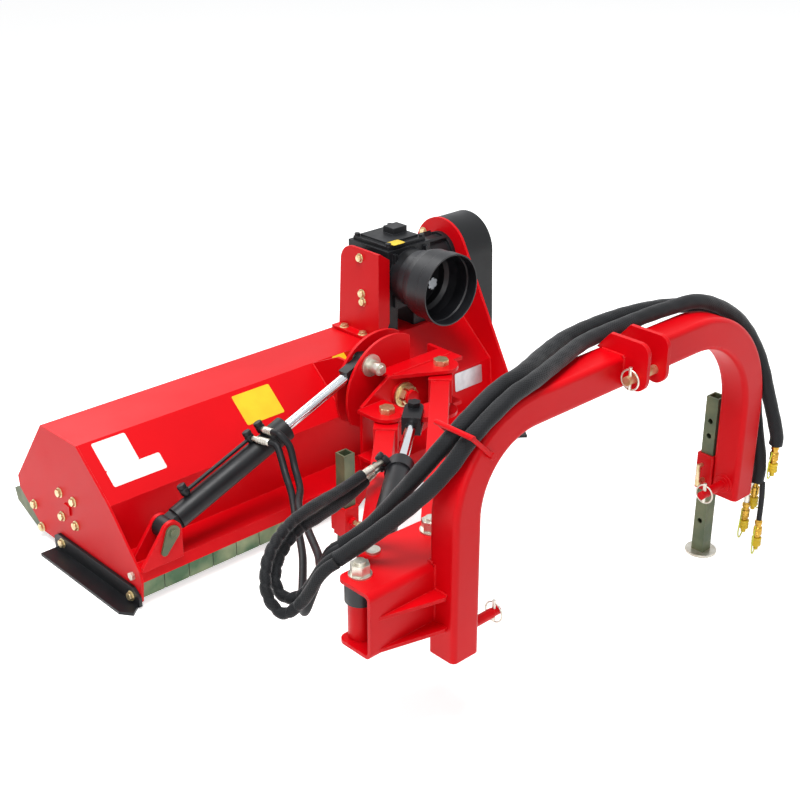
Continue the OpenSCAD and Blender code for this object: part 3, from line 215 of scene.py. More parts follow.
@dataclass(frozen=True)
class WovenFinish(Coating):
    """Braided nylon: crossing threads drawn on the tube's own map, with a soft sheen."""

    base: str
    thread: str
    pitch_mm: float
    depth_mm: float
    rough: float = 0.62
    sheen: float = 0.25
    specular: float = 0.2

    def lay(self, tree: bpy.types.NodeTree) -> None:
        """Lays the surface's nodes.

        Args:
            tree: the material's tree.
        """
        along = add(tree, "ShaderNodeUVMap", uv_map="UVMap").outputs[0]
        # A wave of scale 1 repeats every 0.314 m, so the pitch sets its scale
        scale = 0.314 / (self.pitch_mm * MM)
        waves = []
        for angle in (45.0, -45.0):
            turned = add(tree, "ShaderNodeMapping",
                         {"Vector": along, "Rotation": (0.0, 0.0, math.radians(angle))})
            waves.append(add(tree, "ShaderNodeTexWave", {"Vector": turned.outputs[0], "Scale": scale,
                                                         "Distortion": 0.4, "Detail": 1.0}).outputs[1])
        weave = add(tree, "ShaderNodeMath", {0: waves[0], 1: waves[1]}, operation="MAXIMUM").outputs[0]
        place = add(tree, "ShaderNodeTexCoord").outputs["Object"]
        dust = add(tree, "ShaderNodeTexNoise", {"Vector": place, "Scale": 22.0, "Detail": 5.0}).outputs[0]
        mixed = add(tree, "ShaderNodeMath", {0: weave, 1: dust}, operation="MULTIPLY").outputs[0]
        colour = add(tree, "ShaderNodeMix", {0: mixed, 6: linear(self.base), 7: linear(self.thread)},
                     data_type="RGBA").outputs[2]
        bump = add(tree, "ShaderNodeBump",
                   {"Strength": 0.8, "Distance": self.depth_mm * MM, "Height": weave})
        shader = add(tree, "ShaderNodeBsdfPrincipled", {
            "Base Color": colour, "Roughness": self.rough, "Sheen Weight": self.sheen,
            "Sheen Roughness": 0.4, "Specular IOR Level": self.specular, "Normal": bump.outputs[0]})
        add(tree, "ShaderNodeOutputMaterial", {"Surface": shader.outputs[0]})


class Coats:
    """Every finish on the machine, named for what it is."""

    # Powder coat on steel: even satin red with faint orange peel, low in gloss, paler along its edges as a
    # painted highlight where the edges catch light
    RED = Finish("red_powder_coat", "#d2020f", "#c6010c", 420.0, (0.36, 0.44), 9.0, 0.03, specular=0.16,
                 edge="#e8494a", edge_mm=1.6)
    # Satin black enamel: near black, softly glossy, slightly dusty
    BLACK = Finish("satin_black_enamel", "#0c0d0f", "#131417", 160.0, (0.36, 0.48), 6.0, 0.03, specular=0.3,
                   edge="#2c2e32", edge_mm=1.5)
    # Clear zinc plate: pale grey metal with a faint warm bloom
    ZINC = Finish("clear_zinc_plate", "#d6d3c9", "#bcb6a6", 24.0, (0.26, 0.38), 3.0, 0.02, metallic=0.85,
                  edge="#e4e1d8", edge_mm=0.8)
    # Yellow passivated zinc: warm gold with a greenish bloom
    GOLD = Finish("yellow_passivated_zinc", "#d8caa2", "#bda877", 16.0, (0.26, 0.4), 3.0, 0.02, metallic=0.85,
                  edge="#dcc98f", edge_mm=0.8)
    # Zinc on the hanging flaps, painted mid green as a painted reflection of grass, lighter and darker from
    # flap to flap as painted shading
    FLAP = Finish("zinc_with_painted_grass_reflection", "#3f6342", "#8f9c76", 95.0, (0.36, 0.5), 4.0, 0.03, metallic=0.3,
                  edge="#8a957c", edge_mm=1.0)
    # Olive passivated zinc: greenish grey with cloudy patches and worn rims
    OLIVE = Finish("olive_passivated_zinc", "#4d5a43", "#6a6f52", 60.0, (0.38, 0.55), 2.0, 0.05,
                   metallic=0.35, edge="#8d9077", edge_mm=1.2)
    # Ground and chromed piston rod: mirror bright with faint drawn marks
    CHROME = Finish("hard_chrome", "#dfe2e5", "#d3d7db", 80.0, (0.07, 0.13), 3.0, 0.01, metallic=1.0,
                    edge_mm=0.6)
    # Machined steel: mid grey, drawn by the tool
    STEEL = Finish("machined_steel", "#8f9296", "#777a7e", 40.0, (0.28, 0.42), 1.2, 0.02, metallic=1.0,
                   edge="#b9bcc0", edge_mm=0.8, detail=Detail.DRAWN)
    # Painted grey-black casting: sand texture under enamel
    CASTING = Finish("black_painted_casting", "#0f1012", "#17181b", 70.0, (0.4, 0.55), 5.0, 0.25,
                     specular=0.3, edge="#2e3034", edge_mm=2.5)
    # Moulded polyethylene guard: deep black, waxy, fine mould grain
    GUARD = Finish("moulded_polyethylene", "#121316", "#1b1c20", 90.0, (0.36, 0.46), 4.0, 0.05, specular=0.4,
                   edge_mm=1.5)
    # Wrapped rubber belt and smooth hose cover: dull black
    RUBBER = Finish("smooth_hose_rubber", "#0e0f11", "#16171a", 45.0, (0.42, 0.56), 3.0, 0.05, specular=0.25,
                    edge_mm=0.6)
    # Turned brass coupler: warm yellow metal
    BRASS = Finish("turned_brass", "#c39b45", "#a9822f", 14.0, (0.22, 0.34), 0.8, 0.02, metallic=1.0,
                   edge="#e2c67e", edge_mm=0.6)
    # Soft yellow polymer: even, slightly translucent looking, low gloss
    YELLOW = Finish("soft_yellow_polymer", "#e0c01c", "#cfae14", 30.0, (0.4, 0.52), 1.5, 0.04, edge_mm=1.0)
    # Yellow green polymer line that keeps the caps on
    LINE = Finish("yellow_green_polymer", "#c9cf2a", "#b4bc22", 20.0, (0.38, 0.5), 1.0, 0.02, edge_mm=0.5)
    # White vinyl with a satin face
    VINYL = Finish("white_satin_vinyl", "#eceae6", "#e1dfda", 60.0, (0.32, 0.42), 2.0, 0.01, edge_mm=0.4)
    # Yellow vinyl with a satin face
    SIGNAL = Finish("yellow_satin_vinyl", "#e3c21a", "#d8b512", 60.0, (0.32, 0.42), 2.0, 0.01, edge_mm=0.4)
    # Brushed aluminium plate: pale grey, drawn in one direction
    PLATE = Finish("brushed_aluminium", "#c5c8cb", "#b3b6b9", 25.0, (0.3, 0.42), 0.8, 0.01, metallic=0.9,
                   edge_mm=0.4, detail=Detail.DRAWN)
    # Braided nylon sleeve: black crossing threads; drawn 5 mm apart, coarser than the real 2 mm, to show
    SLEEVE = WovenFinish("braided_nylon_sleeve", "#08090a", "#1c1e22", 5.0, 0.5)

    BY_SLOT = {
        "red_paint": RED, "black_paint": BLACK, "zinc_steel": ZINC, "olive_zinc": OLIVE, "chrome": CHROME,
        "bare_steel": STEEL, "cast_iron": CASTING, "black_plastic": GUARD, "belt_rubber": RUBBER,
        "hose_sleeve": SLEEVE, "hose_rubber": RUBBER, "brass": BRASS, "yellow_plastic": YELLOW,
    }


def new_piece(name: str, mesh: bpy.types.Mesh, finish: Coating, smooth_deg: float = 40.0) -> bpy.types.Object:
    """Links a mesh as a piece of the machine.

    Args:
        name: the piece's name.
        mesh: its mesh, in metres, in the machine's frame.
        finish: its finish.
        smooth_deg: edges sharper than this stay sharp.
    Returns:
        The object.
    """
    piece = bpy.data.objects.new(name, mesh)
    bpy.context.scene.collection.objects.link(piece)
    mesh.materials.clear()
    mesh.materials.append(finish.material())
    mesh.polygons.foreach_set("use_smooth", [True] * len(mesh.polygons))
    mesh.set_sharp_from_angle(angle=math.radians(smooth_deg))
    mesh.update()
    return piece


def carry(piece: bpy.types.Object, body: str, node: str = "") -> None:
    """Makes a piece ride on a body.

    Args:
        piece: the piece.
        body: the body that carries it.
        node: the solid that it stands for, if any.
    """
    if node:
        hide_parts(node)
    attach(piece, body)


def from_bmesh(name: str, made: bmesh.types.BMesh) -> bpy.types.Mesh:
    """Turns a bmesh into a mesh with its faces outwards.

    Args:
        name: the mesh's name.
        made: the bmesh, which is freed.
    Returns:
        The mesh.
    """
    bmesh.ops.recalc_face_normals(made, faces=made.faces)
    mesh = bpy.data.meshes.new(name)
    made.to_mesh(mesh)
    made.free()
    return mesh


def lengths_along(line: np.ndarray) -> np.ndarray:
    """Gives the distance from a line's start to each of its points."""
    return np.concatenate([[0.0], np.cumsum(np.linalg.norm(np.diff(line, axis=0), axis=1))])


def smooth_line(route: Route, step_mm: float, splits: int = 24) -> np.ndarray:
    """Runs a smooth line through a route and samples it evenly.

    Args:
        route: given points in millimetres.
        step_mm: distance between samples.
        splits: fine steps between two points of the route.
    Returns:
        Points in metres, evenly spaced.
    """
    held = np.array([route[0], *route, route[-1]], float)
    fine = []
    for a, b, c, d in zip(held, held[1:], held[2:], held[3:]):
        for t in np.arange(splits) / splits:
            fine.append(0.5 * (2 * b + (c - a) * t + (2 * a - 5 * b + 4 * c - d) * t ** 2
                               + (3 * b - a - 3 * c + d) * t ** 3))
    line = np.array([*fine, held[-1]])
    run = lengths_along(line)
    marks = np.linspace(0.0, run[-1], max(3, int(round(run[-1] / step_mm)) + 1))
    return np.stack([np.interp(marks, run, line[:, k]) for k in range(3)], axis=1) * MM


@dataclass(frozen=True)
class Skin:
    """How a swept tube's radius changes along and around it.

    Depths are shares of the radius, waves are in radians for each metre, and a bunch is the span of the
    length, in shares, where a sleeve is pushed together into rings.
    """

    fold: float = 0.0
    ripple_mm: float = 0.0
    bunch: tuple[float, float] | None = None
    fold_waves: tuple[float, float] = (95.0, 151.0)
    ring_wave: float = 112.0
    ring_wander: float = 9.0
    ring_depth: float = 0.17
    ring_fade: float = 16.0
    ripple_depth: float = 0.1

    def swell(self, s: float, a: float, whole: float) -> float:
        """Gives the radius at a place.

        Args:
            s: distance along the tube, in metres.
            a: angle around it.
            whole: the tube's length, in metres.
        Returns:
            The radius as a share of the plain one.
        """
        first, second = self.fold_waves
        lie = math.sin(s * first + 2.0 * a) + 0.8 * math.sin(s * second - 3.0 * a + 1.3)
        share = 1.0 + self.fold * lie * 0.5
        if self.bunch:
            since, until = s / whole - self.bunch[0], self.bunch[1] - s / whole
            inside = min(max(since * self.ring_fade, 0.0), max(until * self.ring_fade, 0.0), 1.0)
            turn = s * self.ring_wave + 0.7 * math.sin(a + self.ring_wander * s)
            share *= 1.0 - self.ring_depth * inside * abs(math.cos(turn)) ** 7
        if self.ripple_mm:
            share *= 1.0 - self.ripple_depth * (1.0 - abs(math.sin(math.pi * s / (self.ripple_mm * MM))))
        return share


def swept_tube(name: str, line: np.ndarray, radius_mm: float, sides: int = 24,
               skin: Skin = Skin()) -> bpy.types.Mesh:
    """Sweeps a closed tube along a line, with a map in metres along and around it.

    Args:
        name: the mesh's name.
        line: points in metres.
        radius_mm: the tube's radius.
        sides: corners of its section.
        skin: how the radius changes.
    Returns:
        The mesh.
    """
    run = lengths_along(line)
    way = np.gradient(line, axis=0)
    way /= np.linalg.norm(way, axis=1)[:, None]
    side = np.cross(way[0], (0.0, 0.0, 1.0) if abs(way[0][2]) < 0.9 else (0.0, 1.0, 0.0))
    made = bmesh.new()
    sheet = made.loops.layers.uv.new("UVMap")
    rings, radius = [], radius_mm * MM
    for spot, ahead, s in zip(line, way, run):
        side = side - ahead * float(np.dot(side, ahead))
        side /= np.linalg.norm(side)
        other = np.cross(ahead, side)
        ring = []
        for k in range(sides):
            a = 2.0 * math.pi * k / sides
            out = math.cos(a) * side + math.sin(a) * other
            ring.append(made.verts.new(spot + radius * skin.swell(s, a, run[-1]) * out))
        rings.append(ring)
    around = 2.0 * math.pi * radius / sides
    for i in range(len(line) - 1):
        for k in range(sides):
            j = (k + 1) % sides
            face = made.faces.new((rings[i][k], rings[i][j], rings[i + 1][j], rings[i + 1][k]))
            marks = ((run[i], k * around), (run[i], (k + 1) * around),
                     (run[i + 1], (k + 1) * around), (run[i + 1], k * around))
            for loop, mark in zip(face.loops, marks):
                loop[sheet].uv = mark
    made.faces.new(list(reversed(rings[0])))
    made.faces.new(rings[-1])
    return from_bmesh(name, made)


def level_ring(made: bmesh.types.BMesh, radius: float, z: float, sides: int) -> list[bmesh.types.BMVert]:
    """Adds a level ring of points about +Z.

    Args:
        made: the bmesh that takes the points.
        radius: the ring's radius in millimetres.
        z: its height in millimetres.
        sides: how many points.
    Returns:
        The points.
    """
    turns = [2 * math.pi * k / sides for k in range(sides)]
    return [made.verts.new((radius * MM * math.cos(a), radius * MM * math.sin(a), z * MM)) for a in turns]


def close_rings(made: bmesh.types.BMesh, rings: list[list[bmesh.types.BMVert]]) -> None:
    """Joins rings of the same count into a closed skin.

    Args:
        made: the bmesh that holds the points.
        rings: the rings, from the lower end to the upper end.
    """
    sides = len(rings[0])
    for low, high in zip(rings, rings[1:]):
        for k in range(sides):
            j = (k + 1) % sides
            made.faces.new((low[k], low[j], high[j], high[k]))
    made.faces.new(list(reversed(rings[0])))
    made.faces.new(rings[-1])


def lathe(name: str, profile: list[tuple[float, float]], sides: int = 32) -> bpy.types.Mesh:
    """Turns a profile of radius and height, in millimetres, about +Z.

    Args:
        name: the mesh's name.
        profile: points from the lower end to the upper end.
        sides: corners of the section.
    Returns:
        The mesh, closed at both ends.
    """
    made = bmesh.new()
    close_rings(made, [level_ring(made, r, z, sides) for r, z in profile])
    return from_bmesh(name, made)


class Scatter:
    """Geometry Nodes tree that sets one part on every point of a mesh, turned to the point's facing."""

    def __init__(self) -> None:
        """Builds the tree with its named inputs."""
        tree = bpy.data.node_groups.new("set_part_on_points", "GeometryNodeTree")
        face = tree.interface
        face.new_socket("Geometry", in_out="INPUT", socket_type="NodeSocketGeometry")
        self.part = face.new_socket("Part", in_out="INPUT", socket_type="NodeSocketObject").identifier
        self.finish = face.new_socket("Finish", in_out="INPUT", socket_type="NodeSocketMaterial").identifier
        self.size = face.new_socket("Size", in_out="INPUT", socket_type="NodeSocketFloat").identifier
        face.new_socket("Geometry", in_out="OUTPUT", socket_type="NodeSocketGeometry")
        given = add(tree, "NodeGroupInput")
        part = add(tree, "GeometryNodeObjectInfo", {"Object": given.outputs["Part"]})
        facing = add(tree, "GeometryNodeInputNamedAttribute", {"Name": "facing"}, data_type="FLOAT_VECTOR")
        turn = add(tree, "FunctionNodeAlignRotationToVector",
                   {"Vector": facing.outputs["Attribute"]}, axis="Z")
        placed = add(tree, "GeometryNodeInstanceOnPoints", {
            "Points": given.outputs["Geometry"], "Instance": part.outputs["Geometry"],
            "Rotation": turn.outputs["Rotation"], "Scale": given.outputs["Size"]})
        real = add(tree, "GeometryNodeRealizeInstances", {"Geometry": placed.outputs["Instances"]})
        dressed = add(tree, "GeometryNodeSetMaterial", {"Geometry": real.outputs["Geometry"],
                                                        "Material": given.outputs["Finish"]})
        add(tree, "NodeGroupOutput", {"Geometry": dressed.outputs["Geometry"]})
        self.tree = tree

    def place(self, name: str, part: bpy.types.Mesh, spots: list[tuple[Point, Point]], finish: Finish,
              size: float = 1.0) -> bpy.types.Object:
        """Sets a part on every spot and turns the result into one plain piece.

        Args:
            name: the piece's name.
            part: the part's mesh, drawn about +Z from the origin.
            spots: for each copy, its place in millimetres and its facing.
            finish: the piece's finish.
            size: scale of each copy.
        Returns:
            The piece.
        """
        points = bpy.data.meshes.new(name + "_points")
        points.from_pydata([tuple(c * MM for c in p) for p, _ in spots], [], [])
        facing = points.attributes.new("facing", "FLOAT_VECTOR", "POINT")
        facing.data.foreach_set("vector", [c for _, d in spots for c in d])
        carrier = bpy.data.objects.new(name + "_points", points)
        source = bpy.data.objects.new(name + "_part", part)
        for held in (carrier, source):
            bpy.context.scene.collection.objects.link(held)
        modifier = carrier.modifiers.new("set_part", "NODES")
        modifier.node_group = self.tree
        modifier[self.part] = source
        modifier[self.finish] = finish.material()
        modifier[self.size] = size
        bpy.context.view_layer.update()
        graph = bpy.context.evaluated_depsgraph_get()
        mesh = bpy.data.meshes.new_from_object(carrier.evaluated_get(graph))
        mesh.name = name
        for held in (carrier, source):
            bpy.data.objects.remove(held)
        return new_piece(name, mesh, finish)


@dataclass
class Studio:
    """Pale floor, soft lamps and the camera at the photograph's angle. Places are in metres."""

    eye: Point = (-2.1162, -2.2781, 1.8345)
    azimuth: float = -43.07
    elevation: float = 25.0
    lens: float = 61.37
    floor_half: float = 40.0
    floor_lift: float = 0.6
    room: float = 0.4
    sky: Point = (0.97, 0.98, 1.0)
    lamps: tuple[tuple[str, Point, Point, float, float], ...] = (
        ("key", (-1.2, -0.6, 4.6), (0.0, 0.0, 0.3), 2.4, 220.0),
        ("fill", (-3.4, -3.6, 2.4), (0.2, 0.0, 0.3), 3.0, 60.0),
        ("back", (0.5, 4.2, 3.4), (0.0, 0.2, 0.3), 3.0, 80.0),
    )

    def camera(self) -> None:
        """Makes the camera."""
        a, e = math.radians(self.azimuth), math.radians(self.elevation)
        back = Vector((math.sin(a) * math.cos(e), -math.cos(a) * math.cos(e), math.sin(e)))
        data = bpy.data.cameras.new("photo_camera")
        data.lens, data.sensor_width, data.sensor_fit = self.lens, 36.0, "HORIZONTAL"
        data.clip_start, data.clip_end = 0.05, 200.0
        made = bpy.data.objects.new("photo_camera", data)
        bpy.context.scene.collection.objects.link(made)
        made.location = self.eye
        made.rotation_mode = "QUATERNION"
        made.rotation_quaternion = (-back).to_track_quat("-Z", "Y")
        bpy.context.scene.camera = made

    def seen(self, tree: bpy.types.NodeTree) -> bpy.types.NodeSocket:
        """Gives 1 for rays from the camera, from gloss or through glass, and 0 for the rest.

        Args:
            tree: the tree that takes the nodes.
        Returns:
            The socket that carries the value.
        """
        path = add(tree, "ShaderNodeLightPath").outputs
        value = path["Is Camera Ray"]
        for ray in ("Is Glossy Ray", "Is Transmission Ray"):
            value = add(tree, "ShaderNodeMath", {0: value, 1: path[ray]}, operation="MAXIMUM").outputs[0]
        return value

    def light(self) -> None:
        """Makes the world, the lamps and the floor."""
        scene = bpy.context.scene
        scene.view_settings.view_transform = "Standard"
        world = bpy.data.worlds.new("pale_room")
        world.use_nodes = True
        tree = world.node_tree
        tree.nodes.clear()
        # White to the camera and in reflections, and dimmer as a light
        strength = add(tree, "ShaderNodeMapRange", {0: self.seen(tree), 3: self.room, 4: 1.0})
        sky = add(tree, "ShaderNodeBackground", {"Color": (*self.sky, 1.0), "Strength": strength.outputs[0]})
        add(tree, "ShaderNodeOutputWorld", {"Surface": sky.outputs[0]})
        scene.world = world
        for name, place, aim, size, power in self.lamps:
            data = bpy.data.lights.new(name, "AREA")
            data.shape, data.size, data.energy = "DISK", size, power
            lamp = bpy.data.objects.new(name, data)
            scene.collection.objects.link(lamp)
            lamp.location = place
            lamp.rotation_mode = "QUATERNION"
            lamp.rotation_quaternion = (Vector(aim) - Vector(place)).to_track_quat("-Z", "Y")
        self.floor()

    def floor(self) -> None:
        """Makes the floor, white to the camera and in reflections but for the machine's shadow."""
        h = self.floor_half
        mesh = bpy.data.meshes.new("studio_floor")
        mesh.from_pydata([(-h, -h, 0.0), (h, -h, 0.0), (h, h, 0.0), (-h, h, 0.0)], [], [(0, 1, 2, 3)])
        made = bpy.data.objects.new("studio_floor", mesh)
        bpy.context.scene.collection.objects.link(made)
        paint = blank_material("pale_floor")
        tree = paint.node_tree
        place = add(tree, "ShaderNodeTexCoord").outputs["Object"]
        cloud = add(tree, "ShaderNodeTexNoise", {"Vector": place, "Scale": 0.6, "Detail": 2.0})
        colour = add(tree, "ShaderNodeMix",
                     {0: cloud.outputs[0], 6: linear("#f2f2f1"), 7: linear("#eeeeed")},
                     data_type="RGBA").outputs[2]
        shade = add(tree, "ShaderNodeBsdfDiffuse", {"Color": colour})
        # It glows a little for the camera and for reflections, so that it is white but for the shadow
        lift = add(tree, "ShaderNodeMath", {0: self.seen(tree), 1: self.floor_lift}, operation="MULTIPLY")
        glow = add(tree, "ShaderNodeEmission", {"Strength": lift.outputs[0]})
        both = add(tree, "ShaderNodeAddShader", {0: shade.outputs[0], 1: glow.outputs[0]})
        add(tree, "ShaderNodeOutputMaterial", {"Surface": both.outputs[0]})
        mesh.materials.append(paint)


@dataclass
class HoseRuns:
    """The hoses on their given routes, in millimetres, and the lines that keep the caps on."""

    sleeve_r: float = 17.0
    swing_r: float = 13.0
    tilt_r: float = 9.0
    tail_r: float = 7.0
    line_r: float = 1.6
    snug: float = 0.985
    soft: Skin = Skin(fold=0.03)
    pushed: Skin = Skin(fold=0.03, bunch=(0.16, 0.62))
    crimped: Skin = Skin(ripple_mm=6.0)
    shift_from: Point = (-0.640, -0.440, 0.36)
    shift_to: Point = (-0.345, -0.240, 0.36)
    tilt_cuts: tuple[float, float] = (0.40, 0.70)
    arch_1: Route = (
        (603, -722, 318), (602, -721, 348), (585, -700, 440), (556, -671, 562), (479, -650, 666),
        (354, -634, 734), (235, -622, 743), (100, -615, 742), (-40, -620, 742), (-160, -652, 743),
        (-267, -683, 744), (-332, -690, 737), (-391, -689, 712), (-442, -680, 673), (-478, -667, 626),
        (-508, -643, 579), (-538, -608, 530), (-580, -560, 470), (-622, -500, 405))
    arch_2: Route = (
        (592, -690, 208), (593, -690, 262), (592, -669, 355), (586, -646, 470), (546, -618, 590),
        (460, -602, 672), (345, -598, 716), (235, -584, 735), (100, -573, 742), (-40, -577, 742),
        (-150, -605, 743), (-258, -644, 746), (-335, -653, 739), (-398, -652, 711), (-447, -643, 674),
        (-484, -617, 620), (-507, -588, 570), (-524, -550, 512), (-546, -508, 452), (-579, -464, 404))
    coupler_tops: Route = ((603, -722, 317.2), (600, -682, 207.2), (594, -708, 103.2), (575, -678, 149.2))
    tail_1: Route = ((596, -704, 207.7), (594, -708, 160), (594, -708, 104))
    tail_2: Route = ((579, -684, 207.7), (575, -678, 180), (575, -678, 150))
    swing_1: Route = (
        (-633, -507, 404), (-653, -483, 375), (-674, -446, 302), (-700, -414, 270), (-714, -382, 310),
        (-684, -350, 362), (-620, -325, 395), (-525, -293, 396), (-398, -250, 377), (-324, -236, 381))
    swing_2: Route = (
        (-612, -489, 404), (-633, -466, 375), (-651, -426, 304), (-672, -390, 284), (-676, -362, 312),
        (-642, -336, 346), (-578, -312, 368), (-494, -286, 361), (-380, -246, 348), (-304, -222, 352))
    tilt_1: Route = (
        (-587, -468, 403), (-606, -447, 378), (-622, -424, 300), (-628, -396, 232), (-590, -340, 222),
        (-498, -230, 238), (-411, -100, 242), (-346, -5, 245), (-323, 45, 269), (-309, 80, 300),
        (-303, 103, 322), (-308, 124, 325))
    tilt_2: Route = (
        (-571, -457, 403), (-586, -430, 378), (-584, -398, 326), (-535, -330, 304), (-464, -210, 282),
        (-401, -100, 272), (-325, -10, 258), (-295, 45, 280), (-285, 76, 325), (-296, 101, 352),
        (-296, 126, 348))

    def along_arch(self, scatter: Scatter) -> None:
        """Makes the two sleeves along the arch, the two short tails at their lower ends and the couplers.

        Args:
            scatter: what sets a part on points.
        """
        ends = [self.coupler_set(scatter, i) for i in range(len(self.coupler_tops))]
        routes = {"front_sleeve": self.arch_1, "rear_sleeve": self.arch_2}
        for (name, route), end in zip(routes.items(), ends):
            line = smooth_line(route[::-1], 9.0)
            mesh = swept_tube(name, line, self.sleeve_r * self.snug, 32, self.soft)
            piece = new_piece(name, mesh, Coats.SLEEVE)
            carry(piece, "hitch_frame", "arch_hoses")
        line = smooth_line(self.tail_1, 4.0)
        tail = new_piece("long_tail", swept_tube("long_tail", line, self.tail_r, 20), Coats.RUBBER)
        carry(tail, "hitch_frame")
        # The other tail is all crimped ferrule, too short to be a hose
        line = smooth_line(self.tail_2, 3.0)
        mesh = swept_tube("short_tail", line, self.tail_r, 20, self.crimped)
        carry(new_piece("short_tail", mesh, Coats.ZINC), "hitch_frame")
        log.info("hoses along the arch")

    def to_side_shift(self) -> None:
        """Makes the sleeved pair that runs between the frame and the side shift cylinder."""
        for name, route in (("outer_shift_hose", self.swing_1), ("inner_shift_hose", self.swing_2)):
            line = smooth_line(route, 2.5)
            mesh = swept_tube(name, line, self.swing_r * self.snug, 28, self.pushed)
            piece = new_piece(name, mesh, Coats.SLEEVE)
            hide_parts("swing_hose")
            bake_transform(piece)
        log.info("hoses to the side shift cylinder")

    def to_tilt(self) -> None:
        """Makes the pair to the tilt cylinder, each cut into three lengths."""
        hand_over = (("hitch_frame", "left_link"), ("left_link", "carrier"), ("carrier", "head"))
        for name, route in (("lower_tilt_hose", self.tilt_1), ("upper_tilt_hose", self.tilt_2)):
            line = smooth_line(route, 5.0)
            cuts = [0, *(int(len(line) * share) for share in self.tilt_cuts), len(line) - 1]
            for i, (a, b) in enumerate(hand_over):
                part = line[cuts[i]:cuts[i + 1] + 1]
                title = f"{name}_{i + 1}"
                piece = new_piece(title, swept_tube(title, part, self.tilt_r, 24), Coats.RUBBER)
                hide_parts("tilt_hose")
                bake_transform(piece)
        log.info("hoses to the tilt cylinder")

    def coupler_set(self, scatter: Scatter, which: int) -> list[bpy.types.Object]:
        """Makes one turned coupler and its soft cap.

        Args:
            scatter: what sets a part on points.
            which: the coupler's number.
        Returns:
            The coupler and the cap.
        """
        body = lathe("coupler_body", [
            (7.0, -50), (8.0, -49), (8.0, -43), (10.4, -42), (11.0, -41), (11.0, -37), (10.2, -36.4),
            (10.2, -34.6), (11.0, -34), (11.0, -31), (10.2, -30.4), (10.2, -28.6), (11.0, -28), (11.0, -22),
            (10.4, -21), (8.0, -20), (8.0, -12), (9.6, -11.4), (9.6, -4), (8.0, -3.4), (7.4, 0)])
        cap = lathe("cap_body", [
            (3.0, -86), (5.2, -85.4), (6.0, -84), (6.0, -76), (5.0, -75), (8.0, -74.4), (11.2, -73.6),
            (12.0, -72), (12.0, -69), (11.3, -68), (11.3, -65), (12.0, -64), (12.0, -61), (11.3, -60),
            (11.3, -57), (12.0, -56), (12.0, -51.4), (11.0, -50.3)])
        made = []
        for mesh, title, node, finish, slot in (
                (body, "coupler", "couplers", Coats.BRASS, "brass"),
                (cap, "dust_cap", "dust_caps", Coats.YELLOW, "yellow_plastic")):
            spots = [(self.coupler_tops[which], (0.0, 0.0, 1.0))]
            piece = scatter.place(f"{title}_{which + 1}", mesh, spots, finish)
            carry(piece, "hitch_frame", node)
            made.append(piece)
        return made

    def cap_lines(self) -> None:
        """Makes the lines that keep the caps on their couplers."""
        loops = {
            "first_cap_line": ((592, -722, 300), (578, -728, 292), (568, -730, 270), (570, -729, 246),
                               (582, -726, 232), (596, -723, 236)),
            "second_cap_line": ((611, -684, 190), (622, -690, 182), (628, -694, 160), (626, -694, 136),
                                (616, -688, 122), (607, -684, 126)),
            "third_cap_line": ((583, -708, 88), (566, -716, 84), (552, -722, 62), (552, -722, 34),
                               (568, -716, 18), (587, -710, 22)),
            "fourth_cap_line": ((564, -678, 134), (548, -684, 130), (534, -690, 108), (532, -690, 80),
                                (546, -686, 62), (568, -680, 68)),
        }
        for name, route in loops.items():
            line = smooth_line(route, 2.5)
            piece = new_piece(name, swept_tube(name, line, self.line_r, 10), Coats.LINE)
            carry(piece, "hitch_frame")
        log.info("cap lines: %d", len(loops))


